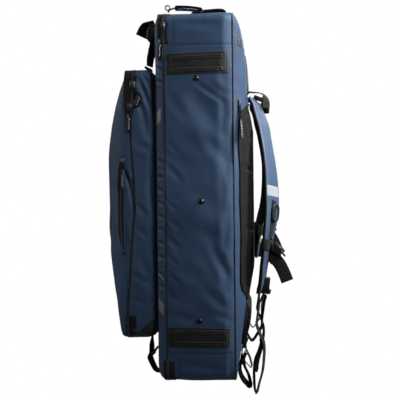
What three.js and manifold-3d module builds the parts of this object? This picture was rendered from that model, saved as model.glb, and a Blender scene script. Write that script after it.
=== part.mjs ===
// Archery backpack for a takedown bow: tall flat-sided bag, bulged front pocket, padded back,
// two shoulder straps. Millimetres, X across the wearer, -Y to the pocket, +Y to the straps, +Z up.
// The bag hangs from its top handle, so the model's origin is the underside of that handle.
import * as THREE from 'three';
import { mergeVertices } from 'three/addons/utils/BufferGeometryUtils.js';
import Module from 'manifold-3d';

const wasm = await Module();
wasm.setup();

// Driving dimensions

const BODY_HEIGHT = 723;
const BODY_WIDTH = 296;
const PANEL_DEPTH = 134;
const LID_DEPTH = 20;
const BACK_BULGE = 25.5;
const BODY_CORNER = 18;
const BODY_WALL = 2.4;
const ZIP_WIDTH = 4;
const ZIP_PROUD = 0.8;
const ZIP_THICK = 3.2;
const PIPING_SIZE = 3.6;
const GAP = 0.3;

const POCKET_HEIGHT = 534;
const POCKET_WIDTH = 260;
const POCKET_LIFT = 82;
const POCKET_GUSSET = 48;
const POCKET_BULGE = 62;
const POCKET_CORNER = 19;
const POCKET_WALL = 2;

const PATCH_THICK = 1;
const PATCH_WIDTH = 121;
const PATCH_TALL_UPPER = 43;
const PATCH_TALL_LOWER = 40;
const SNAP_SIZE = 11.4;
const SNAP_HEIGHT = 3;

const PAD_THICK = 6.5;
const PAD_MARGIN = 17;
const PAD_TOP_GAP = 4;
const PAD_LIFT = 156;
const PAD_CORNER = 34;
const LUMBAR_THICK = 6;
const LUMBAR_MARGIN = 37;
const LUMBAR_HEIGHT = 78;
const LUMBAR_LIFT = 66;
const BACK_PATCH_WIDTH = 130;
const BACK_PATCH_HEIGHT = 66;
const BACK_PATCH_GAP = 7;

const STRAP_WIDTH = 64;
const STRAP_COVER = 6;
const STRAP_LINING = 6;
const STRAP_SPREAD = 105;
const STRAP_REACH = 48;
const WEBBING_WIDTH = 25;
const WEBBING_THICK = 2;
const HANDLE_WIDTH = 28;
const HANDLE_THICK = 3.2;
const HANDLE_LENGTH = 96;
const HANDLE_RISE = 31;
const RING_HEIGHT = 36;
const RING_SPAN = 28;
const RING_WIRE = 4.2;
const PULL_WIDTH = 11;
const PULL_THICK = 2.4;

// Places that follow from the sizes

const ZIP_PLANE = -PANEL_DEPTH / 2;
const PIPING_PLANE = PANEL_DEPTH / 2;
const LID_FACE = ZIP_PLANE - LID_DEPTH;
const BACK_FACE = PIPING_PLANE + BACK_BULGE;
const SIDE_FACE = BODY_WIDTH / 2;
const POCKET_BACK = LID_FACE - GAP;
const POCKET_PLANE = POCKET_BACK - POCKET_GUSSET;
const POCKET_SIDE = POCKET_WIDTH / 2;
const POCKET_TOP = POCKET_LIFT + POCKET_HEIGHT;
const HANDLE_MIDDLE = PANEL_DEPTH * 0.09;
const HALF_ZIP = ZIP_WIDTH / 2;
const STRAP_FOOT = BODY_HEIGHT * 0.758;
const LIFTER_CREST = BODY_HEIGHT * 0.7945;
const PAD_WIDTH = BODY_WIDTH - 2 * PAD_MARGIN;
const PAD_HEIGHT = STRAP_FOOT - PAD_TOP_GAP - PAD_LIFT;
const LUMBAR_WIDTH = BODY_WIDTH - 2 * LUMBAR_MARGIN;
const BACK_PATCH_LIFT = LIFTER_CREST + WEBBING_THICK + BACK_PATCH_GAP;

// Section tables: lengths are shares of the sizes named beside them

// forward and inset: shares of LID_DEPTH; corner: share of BODY_CORNER
const LID_ROWS = [
  { forward: 0.16, inset: 0.0, corner: 1.0 },
  { forward: 0.42, inset: 0.08, corner: 1.0 },
  { forward: 0.66, inset: 0.26, corner: 1.0 },
  { forward: 0.86, inset: 0.54, corner: 1.0 },
  { forward: 0.97, inset: 0.86, corner: 1.0 },
  { forward: 1.0, inset: 1.2, corner: 1.0 },
];

// along: share of PANEL_DEPTH from the zip to the piping
const SIDE_ROWS = [0.0, 0.14, 0.3, 0.46, 0.62, 0.78, 0.9, 1.0];

// out: share of BACK_BULGE; side: share of BODY_WIDTH; top and base: shares of BODY_HEIGHT
const BACK_ROWS = [
  { out: 0.15, side: 0.012, top: 0.006, base: 0.026, corner: 1.1 },
  { out: 0.35, side: 0.028, top: 0.019, base: 0.07, corner: 1.3 },
  { out: 0.53, side: 0.044, top: 0.036, base: 0.115, corner: 1.55 },
  { out: 0.7, side: 0.061, top: 0.064, base: 0.157, corner: 1.8 },
  { out: 0.85, side: 0.078, top: 0.094, base: 0.2, corner: 2.1 },
  { out: 0.95, side: 0.095, top: 0.128, base: 0.25, corner: 2.3 },
  { out: 1.0, side: 0.115, top: 0.17, base: 0.29, corner: 2.5 },
];

// along: share of POCKET_GUSSET from the lid forward; inset: share of POCKET_GUSSET
const POCKET_ROWS = [
  { along: 0.96, inset: 0.0, corner: 1.0 },
  { along: 0.75, inset: 0.0, corner: 1.0 },
  { along: 0.55, inset: 0.0, corner: 1.0 },
  { along: 0.36, inset: 0.01, corner: 1.0 },
  { along: 0.2, inset: 0.06, corner: 1.0 },
  { along: 0.08, inset: 0.17, corner: 1.0 },
  { along: 0.0, inset: 0.36, corner: 1.0 },
];

// forward: share of POCKET_BULGE; side: share of POCKET_WIDTH; top and base: shares of POCKET_HEIGHT
const POCKET_FRONT_ROWS = [
  { forward: 0.036, side: 0.0, top: 0.0, base: 0.0, corner: 1.0 },
  { forward: 0.2, side: 0.004, top: 0.0, base: 0.001, corner: 1.05 },
  { forward: 0.36, side: 0.018, top: 0.003, base: 0.012, corner: 1.4 },
  { forward: 0.5, side: 0.045, top: 0.034, base: 0.07, corner: 1.4 },
  { forward: 0.62, side: 0.085, top: 0.095, base: 0.125, corner: 1.7 },
  { forward: 0.74, side: 0.14, top: 0.155, base: 0.18, corner: 2.0 },
  { forward: 0.85, side: 0.205, top: 0.22, base: 0.235, corner: 2.1 },
  { forward: 0.93, side: 0.27, top: 0.275, base: 0.285, corner: 2.1 },
  { forward: 0.98, side: 0.34, top: 0.33, base: 0.335, corner: 1.9 },
  { forward: 1.0, side: 0.41, top: 0.39, base: 0.4, corner: 1.2 },
];

// wander of the pocket zip: up as share of POCKET_HEIGHT, shift as share of POCKET_GUSSET
const POCKET_WANDER = [
  { up: 0.0, shift: -0.24 },
  { up: 0.1, shift: -0.26 },
  { up: 0.25, shift: -0.12 },
  { up: 0.38, shift: -0.02 },
  { up: 0.48, shift: 0.1 },
  { up: 0.62, shift: 0.04 },
  { up: 0.74, shift: -0.06 },
  { up: 0.86, shift: 0.0 },
  { up: 1.0, shift: 0.06 },
];

// soft dents of the side panels: along as share of PANEL_DEPTH from the zip, up and radius as
// shares of BODY_HEIGHT, depth as share of PANEL_DEPTH
const SIDE_DENTS = [
  { along: 0.62, up: 0.74, radius: 0.085, depth: 0.03 },
  { along: 0.9, up: 0.64, radius: 0.1, depth: 0.028 },
  { along: 0.1, up: 0.4, radius: 0.085, depth: 0.024 },
  { along: 0.06, up: 0.24, radius: 0.05, depth: 0.02 },
  { along: 0.7, up: 0.36, radius: 0.09, depth: 0.02 },
  { along: 0.25, up: 0.6, radius: 0.09, depth: 0.02 },
];

// shoulder strap: side as share of STRAP_SPREAD, outRight and outLeft as shares of STRAP_REACH
// from the back face, upRight and upLeft as shares of BODY_HEIGHT, width as share of STRAP_WIDTH,
// turn in degrees; the left strap is pulled shorter and hangs closer to the pad
const STRAP_ROWS = [
  { side: 0.56, outRight: 0.18, outLeft: 0.18, upRight: 0.775, upLeft: 0.775, width: 0.86, turn: 2 },
  { side: 0.57, outRight: 0.25, outLeft: 0.25, upRight: 0.768, upLeft: 0.768, width: 0.89, turn: 3 },
  { side: 0.59, outRight: 0.36, outLeft: 0.36, upRight: 0.758, upLeft: 0.758, width: 0.92, turn: 4 },
  { side: 0.61, outRight: 0.48, outLeft: 0.48, upRight: 0.738, upLeft: 0.738, width: 0.95, turn: 5 },
  { side: 0.65, outRight: 0.58, outLeft: 0.56, upRight: 0.717, upLeft: 0.717, width: 0.97, turn: 6 },
  { side: 0.69, outRight: 0.68, outLeft: 0.65, upRight: 0.694, upLeft: 0.694, width: 1, turn: 7 },
  { side: 0.73, outRight: 0.75, outLeft: 0.72, upRight: 0.666, upLeft: 0.668, width: 1, turn: 8 },
  { side: 0.77, outRight: 0.83, outLeft: 0.8, upRight: 0.634, upLeft: 0.638, width: 1, turn: 9 },
  { side: 0.81, outRight: 0.91, outLeft: 0.87, upRight: 0.597, upLeft: 0.604, width: 1, turn: 9 },
  { side: 0.84, outRight: 0.97, outLeft: 0.9, upRight: 0.555, upLeft: 0.57, width: 1, turn: 10 },
  { side: 0.87, outRight: 1, outLeft: 0.9, upRight: 0.511, upLeft: 0.535, width: 1, turn: 10 },
  { side: 0.9, outRight: 1, outLeft: 0.85, upRight: 0.466, upLeft: 0.5, width: 0.98, turn: 9 },
  { side: 0.93, outRight: 0.93, outLeft: 0.74, upRight: 0.423, upLeft: 0.468, width: 0.95, turn: 8 },
  { side: 0.95, outRight: 0.83, outLeft: 0.58, upRight: 0.382, upLeft: 0.438, width: 0.9, turn: 7 },
  { side: 0.97, outRight: 0.74, outLeft: 0.44, upRight: 0.343, upLeft: 0.41, width: 0.84, turn: 6 },
  { side: 0.985, outRight: 0.65, outLeft: 0.38, upRight: 0.307, upLeft: 0.382, width: 0.76, turn: 5 },
  { side: 0.995, outRight: 0.58, outLeft: 0.34, upRight: 0.271, upLeft: 0.355, width: 0.66, turn: 4 },
  { side: 1, outRight: 0.5, outLeft: 0.32, upRight: 0.248, upLeft: 0.33, width: 0.56, turn: 3 },
  { side: 1, outRight: 0.37, outLeft: 0.31, upRight: 0.232, upLeft: 0.312, width: 0.46, turn: 2 },
];

// Vector helpers

const sum = (a, b) => [a[0] + b[0], a[1] + b[1], a[2] + b[2]];
const less = (a, b) => [a[0] - b[0], a[1] - b[1], a[2] - b[2]];
const times = (a, k) => [a[0] * k, a[1] * k, a[2] * k];
const dot = (a, b) => a[0] * b[0] + a[1] * b[1] + a[2] * b[2];
const cross = (a, b) => [
  a[1] * b[2] - a[2] * b[1],
  a[2] * b[0] - a[0] * b[2],
  a[0] * b[1] - a[1] * b[0],
];
const unit = (a) => times(a, 1 / Math.hypot(a[0], a[1], a[2]));
const mean = (list) => times(list.reduce(sum, [0, 0, 0]), 1 / list.length);

// value of a table column at a place, straight between its rows
function between(rows, key, value, place) {
  if (place <= rows[0][key]) return rows[0][value];
  for (let i = 1; i < rows.length; i += 1) {
    if (place <= rows[i][key]) {
      const part = (place - rows[i - 1][key]) / (rows[i][key] - rows[i - 1][key]);
      return rows[i - 1][value] * (1 - part) + rows[i][value] * part;
    }
  }
  return rows[rows.length - 1][value];
}

// Solid helpers

// a closed geometry from points and triangles, turned so that its faces point out
function closedBody(points, faces) {
  let volume = 0;
  for (const [a, b, c] of faces) {
    volume += dot(points[a], cross(points[b], points[c]));
  }
  const ordered = volume < 0 ? faces.map(([a, b, c]) => [a, c, b]) : faces;
  const geometry = new THREE.BufferGeometry();
  geometry.setAttribute('position', new THREE.Float32BufferAttribute(points.flat(), 3));
  geometry.setIndex(ordered.flat());
  return geometry;
}

// rings of equal count joined in order, with both ends closed
function loft(rings) {
  const count = rings[0].length;
  const points = rings.flat();
  const faces = [];
  for (let row = 0; row + 1 < rings.length; row += 1) {
    for (let i = 0; i < count; i += 1) {
      const next = (i + 1) % count;
      const a = row * count + i;
      const b = row * count + next;
      faces.push([a, b, b + count], [a, b + count, a + count]);
    }
  }
  const last = (rings.length - 1) * count;
  points.push(mean(rings[0]), mean(rings[rings.length - 1]));
  for (let i = 0; i < count; i += 1) {
    const next = (i + 1) % count;
    faces.push([next, i, points.length - 2]);
    faces.push([last + i, last + next, points.length - 1]);
  }
  return closedBody(points, faces);
}

// rings joined in a loop, the last to the first, as a frame
function frameLoft(rings) {
  const count = rings[0].length;
  const points = rings.flat();
  const faces = [];
  for (let row = 0; row < rings.length; row += 1) {
    const here = row * count;
    const there = ((row + 1) % rings.length) * count;
    for (let i = 0; i < count; i += 1) {
      const next = (i + 1) % count;
      faces.push([here + i, here + next, there + next], [here + i, there + next, there + i]);
    }
  }
  return closedBody(points, faces);
}

// rounded rectangle in XZ at one depth: half width, low and high edge, corner radius
const QUARTER = Math.PI / 2;
const ARC_STEPS = 4;
const WALL_STEPS = 7;
const FINE_WALL_STEPS = 14;
const CAP_STEPS = 2;
function roundRing(y, half, low, high, corner, wallSteps = WALL_STEPS) {
  const radius = Math.min(corner, half * 0.9, (high - low) * 0.45);
  const corners = [
    { x: half - radius, z: low + radius, from: -1, steps: wallSteps },
    { x: half - radius, z: high - radius, from: 0, steps: CAP_STEPS },
    { x: radius - half, z: high - radius, from: 1, steps: wallSteps },
    { x: radius - half, z: low + radius, from: 2, steps: CAP_STEPS },
  ];
  const ring = [];
  corners.forEach((place, index) => {
    for (let step = 0; step <= ARC_STEPS; step += 1) {
      const angle = QUARTER * (place.from + step / ARC_STEPS);
      ring.push([place.x + radius * Math.cos(angle), y, place.z + radius * Math.sin(angle)]);
    }
    const start = ring[ring.length - 1];
    const onward = corners[(index + 1) % corners.length];
    const turn = QUARTER * onward.from;
    const end = [onward.x + radius * Math.cos(turn), y, onward.z + radius * Math.sin(turn)];
    for (let step = 1; step < place.steps; step += 1) {
      ring.push(sum(times(start, 1 - step / place.steps), times(end, step / place.steps)));
    }
  });
  return ring;
}

// every ring moved along its outward normal; the first ring stays in its own plane and the last
// one leans to the closed end
function offsetRings(rings, distance) {
  const count = rings[0].length;
  const lastRow = rings.length - 1;
  const endward = Math.sign(rings[lastRow][0][1] - rings[0][0][1]);
  return rings.map((ring, row) => {
    const middle = mean(ring);
    return ring.map((point, i) => {
      const around = less(ring[(i + 1) % count], ring[(i + count - 1) % count]);
      const before = rings[Math.max(row - 1, 0)][i];
      const after = rings[Math.min(row + 1, lastRow)][i];
      let normal = unit(cross(around, less(after, before)));
      if (row === 0) normal = unit([normal[0], 0, normal[2]]);
      const side = dot(normal, [point[0] - middle[0], 0, point[2] - middle[2]]);
      if (side < 0) normal = times(normal, -1);
      if (row === lastRow) normal = unit(sum(normal, [0, endward, 0]));
      return sum(point, times(normal, distance));
    });
  });
}

// cloth shell, open at the first ring and closed past the last
function clothShell(rings, wall) {
  return loft([...offsetRings(rings, -wall).reverse(), ...rings]);
}

function toSolid(geometry) {
  const bare = geometry.clone();
  bare.deleteAttribute('normal');
  bare.deleteAttribute('uv');
  const merged = mergeVertices(bare, 1e-4);
  return new wasm.Manifold(new wasm.Mesh({
    numProp: 3,
    vertProperties: Float32Array.from(merged.attributes.position.array),
    triVerts: Uint32Array.from(merged.index.array),
  }));
}

function fromSolid(solid) {
  const mesh = solid.getMesh();
  const geometry = new THREE.BufferGeometry();
  const places = Float32Array.from(mesh.vertProperties);
  geometry.setAttribute('position', new THREE.BufferAttribute(places, 3));
  geometry.setIndex(Array.from(mesh.triVerts));
  return geometry;
}

// plate or block with an outline drawn in [Y, Z] and its length along X, or in [X, Z] along Y
function block(outline, axis, from, to) {
  const shape = new THREE.Shape(outline.map(([a, b]) => new THREE.Vector2(a, b)));
  const raw = new THREE.ExtrudeGeometry(shape, { depth: to - from, bevelEnabled: false });
  const places = raw.attributes.position;
  for (let i = 0; i < places.count; i += 1) {
    const a = places.getX(i);
    const b = places.getY(i);
    const c = places.getZ(i) + from;
    if (axis === 'x') places.setXYZ(i, c, a, b);
    else places.setXYZ(i, a, c, b);
  }
  raw.deleteAttribute('normal');
  raw.deleteAttribute('uv');
  const merged = mergeVertices(raw, 1e-4);
  const points = [];
  for (let i = 0; i < merged.attributes.position.count; i += 1) {
    const p = merged.attributes.position;
    points.push([p.getX(i), p.getY(i), p.getZ(i)]);
  }
  const faces = [];
  for (let i = 0; i < merged.index.count; i += 3) {
    faces.push([merged.index.getX(i), merged.index.getX(i + 1), merged.index.getX(i + 2)]);
  }
  return closedBody(points, faces);
}

// outline of a rectangle with cut or rounded corners
function roundOutline(a0, b0, a1, b1, radius, steps = 3) {
  const corners = [
    { a: a1 - radius, b: b0 + radius, from: -1 },
    { a: a1 - radius, b: b1 - radius, from: 0 },
    { a: a0 + radius, b: b1 - radius, from: 1 },
    { a: a0 + radius, b: b0 + radius, from: 2 },
  ];
  const outline = [];
  for (const place of corners) {
    for (let step = 0; step <= steps; step += 1) {
      const angle = QUARTER * (place.from + step / steps);
      outline.push([place.a + radius * Math.cos(angle), place.b + radius * Math.sin(angle)]);
    }
  }
  return outline;
}

// a block cut so that it lies as a skin of even thickness on a lofted surface
function skinOn(rings, outlineBlock, gap, thick) {
  const outside = toSolid(loft(offsetRings(rings, gap + thick)));
  const inside = toSolid(loft(offsetRings(rings, gap)));
  const cut = toSolid(outlineBlock).intersect(outside).subtract(inside);
  return fromSolid(cut);
}

// band along a path: each stop has its place, width, thickness and across direction
function band(stops, soft = false, flip = 1) {
  const rings = stops.map((stop, i) => {
    const back = stops[Math.max(i - 1, 0)].at;
    const fore = stops[Math.min(i + 1, stops.length - 1)].at;
    const along = unit(less(fore, back));
    const reach = dot(stop.across, along);
    const across = unit(less(stop.across, times(along, reach)));
    const face = cross(along, across);
    const half = stop.width / 2;
    const thin = stop.thick / 2;
    const middle = sum(stop.at, times(face, stop.lift ?? 0));
    const corners = soft
      ? [[-1, -0.4], [-0.9, -1], [0.9, -1], [1, -0.4], [1, 0.4], [0.9, 1], [-0.9, 1], [-1, 0.4]]
      : [[-1, -1], [1, -1], [1, 1], [-1, 1]];
    return corners.map(([w, t]) => (
      sum(middle, sum(times(across, half * w), times(face, thin * t * flip)))));
  });
  return loft(rings);
}

// round bar along points, in steps
function wire(points, size, closed = false, sides = 8) {
  const curve = new THREE.CatmullRomCurve3(points.map((p) => new THREE.Vector3(...p)), closed);
  const outline = [];
  for (let i = 0; i < sides; i += 1) {
    const angle = (2 * Math.PI * i) / sides;
    outline.push(new THREE.Vector2((size / 2) * Math.cos(angle), (size / 2) * Math.sin(angle)));
  }
  const bar = new THREE.ExtrudeGeometry(new THREE.Shape(outline), {
    steps: points.length * (closed ? 2 : 3),
    extrudePath: curve,
  });
  return fromSolid(toSolid(bar));
}

function mirrored(geometry) {
  const copy = geometry.clone();
  copy.scale(-1, 1, 1);
  const order = Array.from(copy.index.array);
  for (let i = 0; i < order.length; i += 3) {
    [order[i], order[i + 1]] = [order[i + 1], order[i]];
  }
  copy.setIndex(order);
  return copy;
}

// Materials

const look = (color, roughness, metalness = 0) => ({ color, roughness, metalness });
const LOOKS = {
  navy: look('#2e4363', 0.62),
  paleNavy: look('#5a6e8e', 0.6),
  strapBlue: look('#5f7598', 0.7),
  black: look('#121214', 0.75),
  mesh: look('#0c0c0e', 0.9),
  plastic: look('#17181a', 0.45),
  snap: look('#1b1c1f', 0.35, 0.2),
  metal: look('#3a3c40', 0.35, 0.9),
};

const model = new THREE.Group();
function add(name, geometry, style) {
  const mesh = new THREE.Mesh(geometry, new THREE.MeshStandardMaterial(style));
  mesh.name = name;
  model.add(mesh);
}
function addPair(name, geometry, style) {
  add(`${name}_right`, geometry, style);
  add(`${name}_left`, mirrored(geometry), style);
}

// Main bag: tub behind the zip, lid in front of it

const lidRings = LID_ROWS.map((row) => roundRing(
  row.forward === LID_ROWS[0].forward ? ZIP_PLANE - HALF_ZIP - GAP : ZIP_PLANE - row.forward * LID_DEPTH,
  SIDE_FACE - row.inset * LID_DEPTH,
  row.inset * LID_DEPTH,
  BODY_HEIGHT - row.inset * LID_DEPTH,
  BODY_CORNER * row.corner,
));

// how far a side panel sinks in at a place on it
function dentDepth(y, z) {
  let depth = 0;
  for (const dent of SIDE_DENTS) {
    const dy = y - (ZIP_PLANE + dent.along * PANEL_DEPTH);
    const dz = z - dent.up * BODY_HEIGHT;
    const away = Math.hypot(dy, dz) / (dent.radius * BODY_HEIGHT);
    if (away < 1) depth += dent.depth * PANEL_DEPTH * (Math.cos(Math.PI * away) + 1) / 2;
  }
  return depth;
}

function sunk(ring, fade) {
  return ring.map(([x, y, z]) => {
    const flat = Math.abs(x) > SIDE_FACE - 1;
    return flat ? [x - Math.sign(x) * fade * dentDepth(y, z), y, z] : [x, y, z];
  });
}

const bodyRings = [
  ...SIDE_ROWS.map((along, row) => {
    const start = ZIP_PLANE + HALF_ZIP + GAP;
    const y = row === 0 ? start : ZIP_PLANE + along * PANEL_DEPTH;
    const fade = row === 0 || row === SIDE_ROWS.length - 1 ? 0 : 1;
    return sunk(
      roundRing(y, SIDE_FACE, 0, BODY_HEIGHT, BODY_CORNER, FINE_WALL_STEPS), fade);
  }),
  ...BACK_ROWS.map((row) => roundRing(
    PIPING_PLANE + row.out * BACK_BULGE,
    SIDE_FACE - row.side * BODY_WIDTH,
    row.base * BODY_HEIGHT,
    BODY_HEIGHT - row.top * BODY_HEIGHT,
    BODY_CORNER * row.corner,
    FINE_WALL_STEPS,
  )),
];

add('body_shell', clothShell(bodyRings, BODY_WALL), LOOKS.navy);
add('front_lid', clothShell(lidRings, BODY_WALL), LOOKS.navy);

// flat band that runs all round between two rims
function zipRing(plane, half, width, low, high, corner) {
  const edges = [[-1, ZIP_PROUD], [1, ZIP_PROUD], [1, -ZIP_THICK], [-1, -ZIP_THICK]];
  return edges.map(([way, out]) => (
    roundRing(plane + way * half, width / 2 + out, low - out, high + out, corner + out)));
}
add('main_zip', frameLoft(zipRing(ZIP_PLANE, HALF_ZIP, BODY_WIDTH, 0, BODY_HEIGHT, BODY_CORNER)),
  LOOKS.black);

const PIPING_SIDES = 6;
const pipingSteps = Array.from({ length: PIPING_SIDES }, (_, step) => step / PIPING_SIDES);
add('back_piping', frameLoft(pipingSteps.map((share) => {
  const angle = 2 * Math.PI * share;
  const out = GAP + (PIPING_SIZE / 2) * (1 + Math.cos(angle));
  const y = PIPING_PLANE + (PIPING_SIZE / 2) * Math.sin(angle);
  return roundRing(y, SIDE_FACE + out, -out, BODY_HEIGHT + out, BODY_CORNER + out);
})), LOOKS.black);

// Front pocket: gusset tub on the lid, zip, bulged front

// the pocket's zip wanders with the soft gusset; the rows next to it follow
function wander(ring) {
  return ring.map(([x, y, z]) => {
    const up = (z - POCKET_LIFT) / POCKET_HEIGHT;
    const shift = between(POCKET_WANDER, 'up', 'shift', up) * POCKET_GUSSET;
    const reach = y > POCKET_PLANE ? POCKET_GUSSET * 0.85 : POCKET_BULGE * 0.6;
    const fade = Math.max(0, 1 - Math.abs(y - POCKET_PLANE) / reach);
    return [x, y + shift * fade, z];
  });
}

const pocketRings = POCKET_ROWS.map((row, index) => wander(roundRing(
  index === 0 ? POCKET_PLANE + HALF_ZIP + GAP : POCKET_BACK - row.along * POCKET_GUSSET,
  POCKET_SIDE - row.inset * POCKET_GUSSET,
  POCKET_LIFT + row.inset * POCKET_GUSSET,
  POCKET_TOP - row.inset * POCKET_GUSSET,
  POCKET_CORNER * row.corner,
)));
const pocketFrontRings = POCKET_FRONT_ROWS.map((row, index) => wander(roundRing(
  index === 0 ? POCKET_PLANE - HALF_ZIP - GAP : POCKET_PLANE - row.forward * POCKET_BULGE,
  POCKET_SIDE - row.side * POCKET_WIDTH,
  POCKET_LIFT + row.base * POCKET_HEIGHT,
  POCKET_TOP - row.top * POCKET_HEIGHT,
  POCKET_CORNER * row.corner,
)));
add('pocket_shell', clothShell(pocketRings, POCKET_WALL), LOOKS.navy);
add('pocket_front', clothShell(pocketFrontRings, POCKET_WALL), LOOKS.navy);
const pocketZipRings = zipRing(POCKET_PLANE, HALF_ZIP, POCKET_WIDTH, POCKET_LIFT, POCKET_TOP,
  POCKET_CORNER);
add('pocket_zip', frameLoft(pocketZipRings.map(wander)), LOOKS.black);

const CHEEK_RISE = POCKET_HEIGHT * 0.075;
const baseBlock = block([
  [POCKET_BACK - POCKET_GUSSET * 0.12, POCKET_LIFT - PATCH_THICK * 3],
  [POCKET_BACK - POCKET_GUSSET * 0.12, POCKET_LIFT + CHEEK_RISE],
  [POCKET_PLANE + POCKET_GUSSET * 0.2, POCKET_LIFT + CHEEK_RISE * 0.12],
  [POCKET_PLANE + POCKET_GUSSET * 0.2, POCKET_LIFT - PATCH_THICK * 3],
], 'x', -POCKET_WIDTH, POCKET_WIDTH);
add('pocket_base', skinOn(pocketRings, baseBlock, GAP, PATCH_THICK), LOOKS.black);

const SLASH_TOP = POCKET_LIFT + POCKET_HEIGHT * 0.668;
const SLASH_BASE = POCKET_LIFT + POCKET_HEIGHT * 0.312;
const SLASH_Y = POCKET_PLANE - POCKET_BULGE * 0.3;
const SLASH_WIDE = POCKET_BULGE * 0.1;
const slashBlock = block([
  [SLASH_Y + SLASH_WIDE, SLASH_BASE],
  [SLASH_Y + SLASH_WIDE * 0.3, SLASH_TOP],
  [SLASH_Y - SLASH_WIDE * 0.7, SLASH_TOP],
  [SLASH_Y - SLASH_WIDE, (SLASH_TOP + SLASH_BASE) / 2],
  [SLASH_Y - SLASH_WIDE, SLASH_BASE + SLASH_WIDE * 3],
  [SLASH_Y, SLASH_BASE],
], 'x', 0, POCKET_WIDTH);
addPair('slash_zip', skinOn(pocketFrontRings, slashBlock, GAP, PATCH_THICK), LOOKS.black);

// Side patches and snaps

const PATCH_FROM = ZIP_PLANE + PANEL_DEPTH * 0.025;
const PATCH_LIFT_LOWER = BODY_HEIGHT * 0.087;
const PATCH_LIFT_UPPER = BODY_HEIGHT * 0.832;
const plateAt = (lift, tall) => block(
  roundOutline(PATCH_FROM, lift, PATCH_FROM + PATCH_WIDTH, lift + tall, tall * 0.05, 1),
  'x', SIDE_FACE + GAP, SIDE_FACE + GAP + PATCH_THICK,
);
addPair('side_patch_lower', plateAt(PATCH_LIFT_LOWER, PATCH_TALL_LOWER), LOOKS.black);
addPair('side_patch_upper', plateAt(PATCH_LIFT_UPPER, PATCH_TALL_UPPER), LOOKS.black);

const snapProfile = [[0, 0], [0.5, 0], [0.5, 0.3], [0.42, 0.62], [0.26, 0.9], [0, 1]].map(
  ([out, up]) => new THREE.Vector2(out * SNAP_SIZE, up * SNAP_HEIGHT),
);
function snapAt(y, z) {
  const dome = new THREE.LatheGeometry(snapProfile, 16);
  dome.rotateZ(-Math.PI / 2);
  dome.translate(SIDE_FACE + GAP, y, z);
  return fromSolid(toSolid(dome));
}
addPair('snap_upper', snapAt(-PANEL_DEPTH * 0.035, PATCH_LIFT_UPPER - SNAP_SIZE * 0.75),
  LOOKS.snap);
addPair('snap_middle', snapAt(PANEL_DEPTH * 0.02, BODY_HEIGHT * 0.487), LOOKS.snap);
addPair('snap_lower',
  snapAt(-PANEL_DEPTH * 0.02, PATCH_LIFT_LOWER + PATCH_TALL_LOWER + SNAP_SIZE * 1.4), LOOKS.snap);

// Back: padded panel, lumbar pad, patch above

const BACK_DEEP = BACK_FACE + PAD_THICK * 3;
const backBlock = (wide, lift, tall, radius) => block(
  roundOutline(-wide / 2, lift, wide / 2, lift + tall, radius, 4), 'y', PIPING_PLANE, BACK_DEEP,
);
add('back_pad', skinOn(bodyRings, backBlock(PAD_WIDTH, PAD_LIFT, PAD_HEIGHT, PAD_CORNER),
  GAP, PAD_THICK), LOOKS.mesh);
add('lumbar_pad', skinOn(bodyRings,
  backBlock(LUMBAR_WIDTH, LUMBAR_LIFT, LUMBAR_HEIGHT, LUMBAR_HEIGHT * 0.3), GAP, LUMBAR_THICK),
LOOKS.mesh);
add('back_patch', skinOn(bodyRings,
  backBlock(BACK_PATCH_WIDTH, BACK_PATCH_LIFT, BACK_PATCH_HEIGHT, BACK_PATCH_HEIGHT * 0.08),
  GAP, PATCH_THICK * 2), LOOKS.black);

// Top handle: webbing arch that runs front to back

const HANDLE_ROWS = [
  { along: -0.66, rise: 0.0 },
  { along: -0.5, rise: 0.0 },
  { along: -0.42, rise: 0.16 },
  { along: -0.38, rise: 0.6 },
  { along: -0.3, rise: 0.88 },
  { along: 0.0, rise: 0.97 },
  { along: 0.26, rise: 1.0 },
  { along: 0.36, rise: 0.9 },
  { along: 0.41, rise: 0.6 },
  { along: 0.44, rise: 0.16 },
  { along: 0.48, rise: 0.0 },
  { along: 0.53, rise: 0.0 },
];
const HANDLE_SEAT = BODY_HEIGHT + GAP + HANDLE_THICK / 2;
add('top_handle', band(HANDLE_ROWS.map((row) => ({
  at: [0, HANDLE_MIDDLE + row.along * HANDLE_LENGTH, HANDLE_SEAT + row.rise * HANDLE_RISE],
  across: [1, 0, 0],
  width: HANDLE_WIDTH,
  thick: HANDLE_THICK,
}))), LOOKS.black);

// Shoulder straps: blue cover outside, mesh lining inside

function strapStops(out, up, thick, lift) {
  return STRAP_ROWS.map((row) => {
    const turn = THREE.MathUtils.degToRad(row.turn);
    return {
      at: [row.side * STRAP_SPREAD, BACK_FACE + row[out] * STRAP_REACH, row[up] * BODY_HEIGHT],
      across: [Math.cos(turn), -Math.sin(turn), 0],
      width: row.width * STRAP_WIDTH,
      thick,
      lift,
    };
  });
}
const COVER_LIFT = -(GAP + STRAP_COVER) / 2;
const LINING_LIFT = (GAP + STRAP_LINING) / 2;
const rightCover = strapStops('outRight', 'upRight', STRAP_COVER, COVER_LIFT);
const rightLining = strapStops('outRight', 'upRight', STRAP_LINING, LINING_LIFT);
const leftCover = strapStops('outLeft', 'upLeft', STRAP_COVER, COVER_LIFT);
const leftLining = strapStops('outLeft', 'upLeft', STRAP_LINING, LINING_LIFT);
add('strap_right', band(rightCover, true), LOOKS.strapBlue);
add('strap_left', mirrored(band(leftCover, true)), LOOKS.strapBlue);
add('strap_lining_right', band(rightLining, true, -1), LOOKS.mesh);
add('strap_lining_left', mirrored(band(leftLining, true, -1)), LOOKS.mesh);

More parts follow.
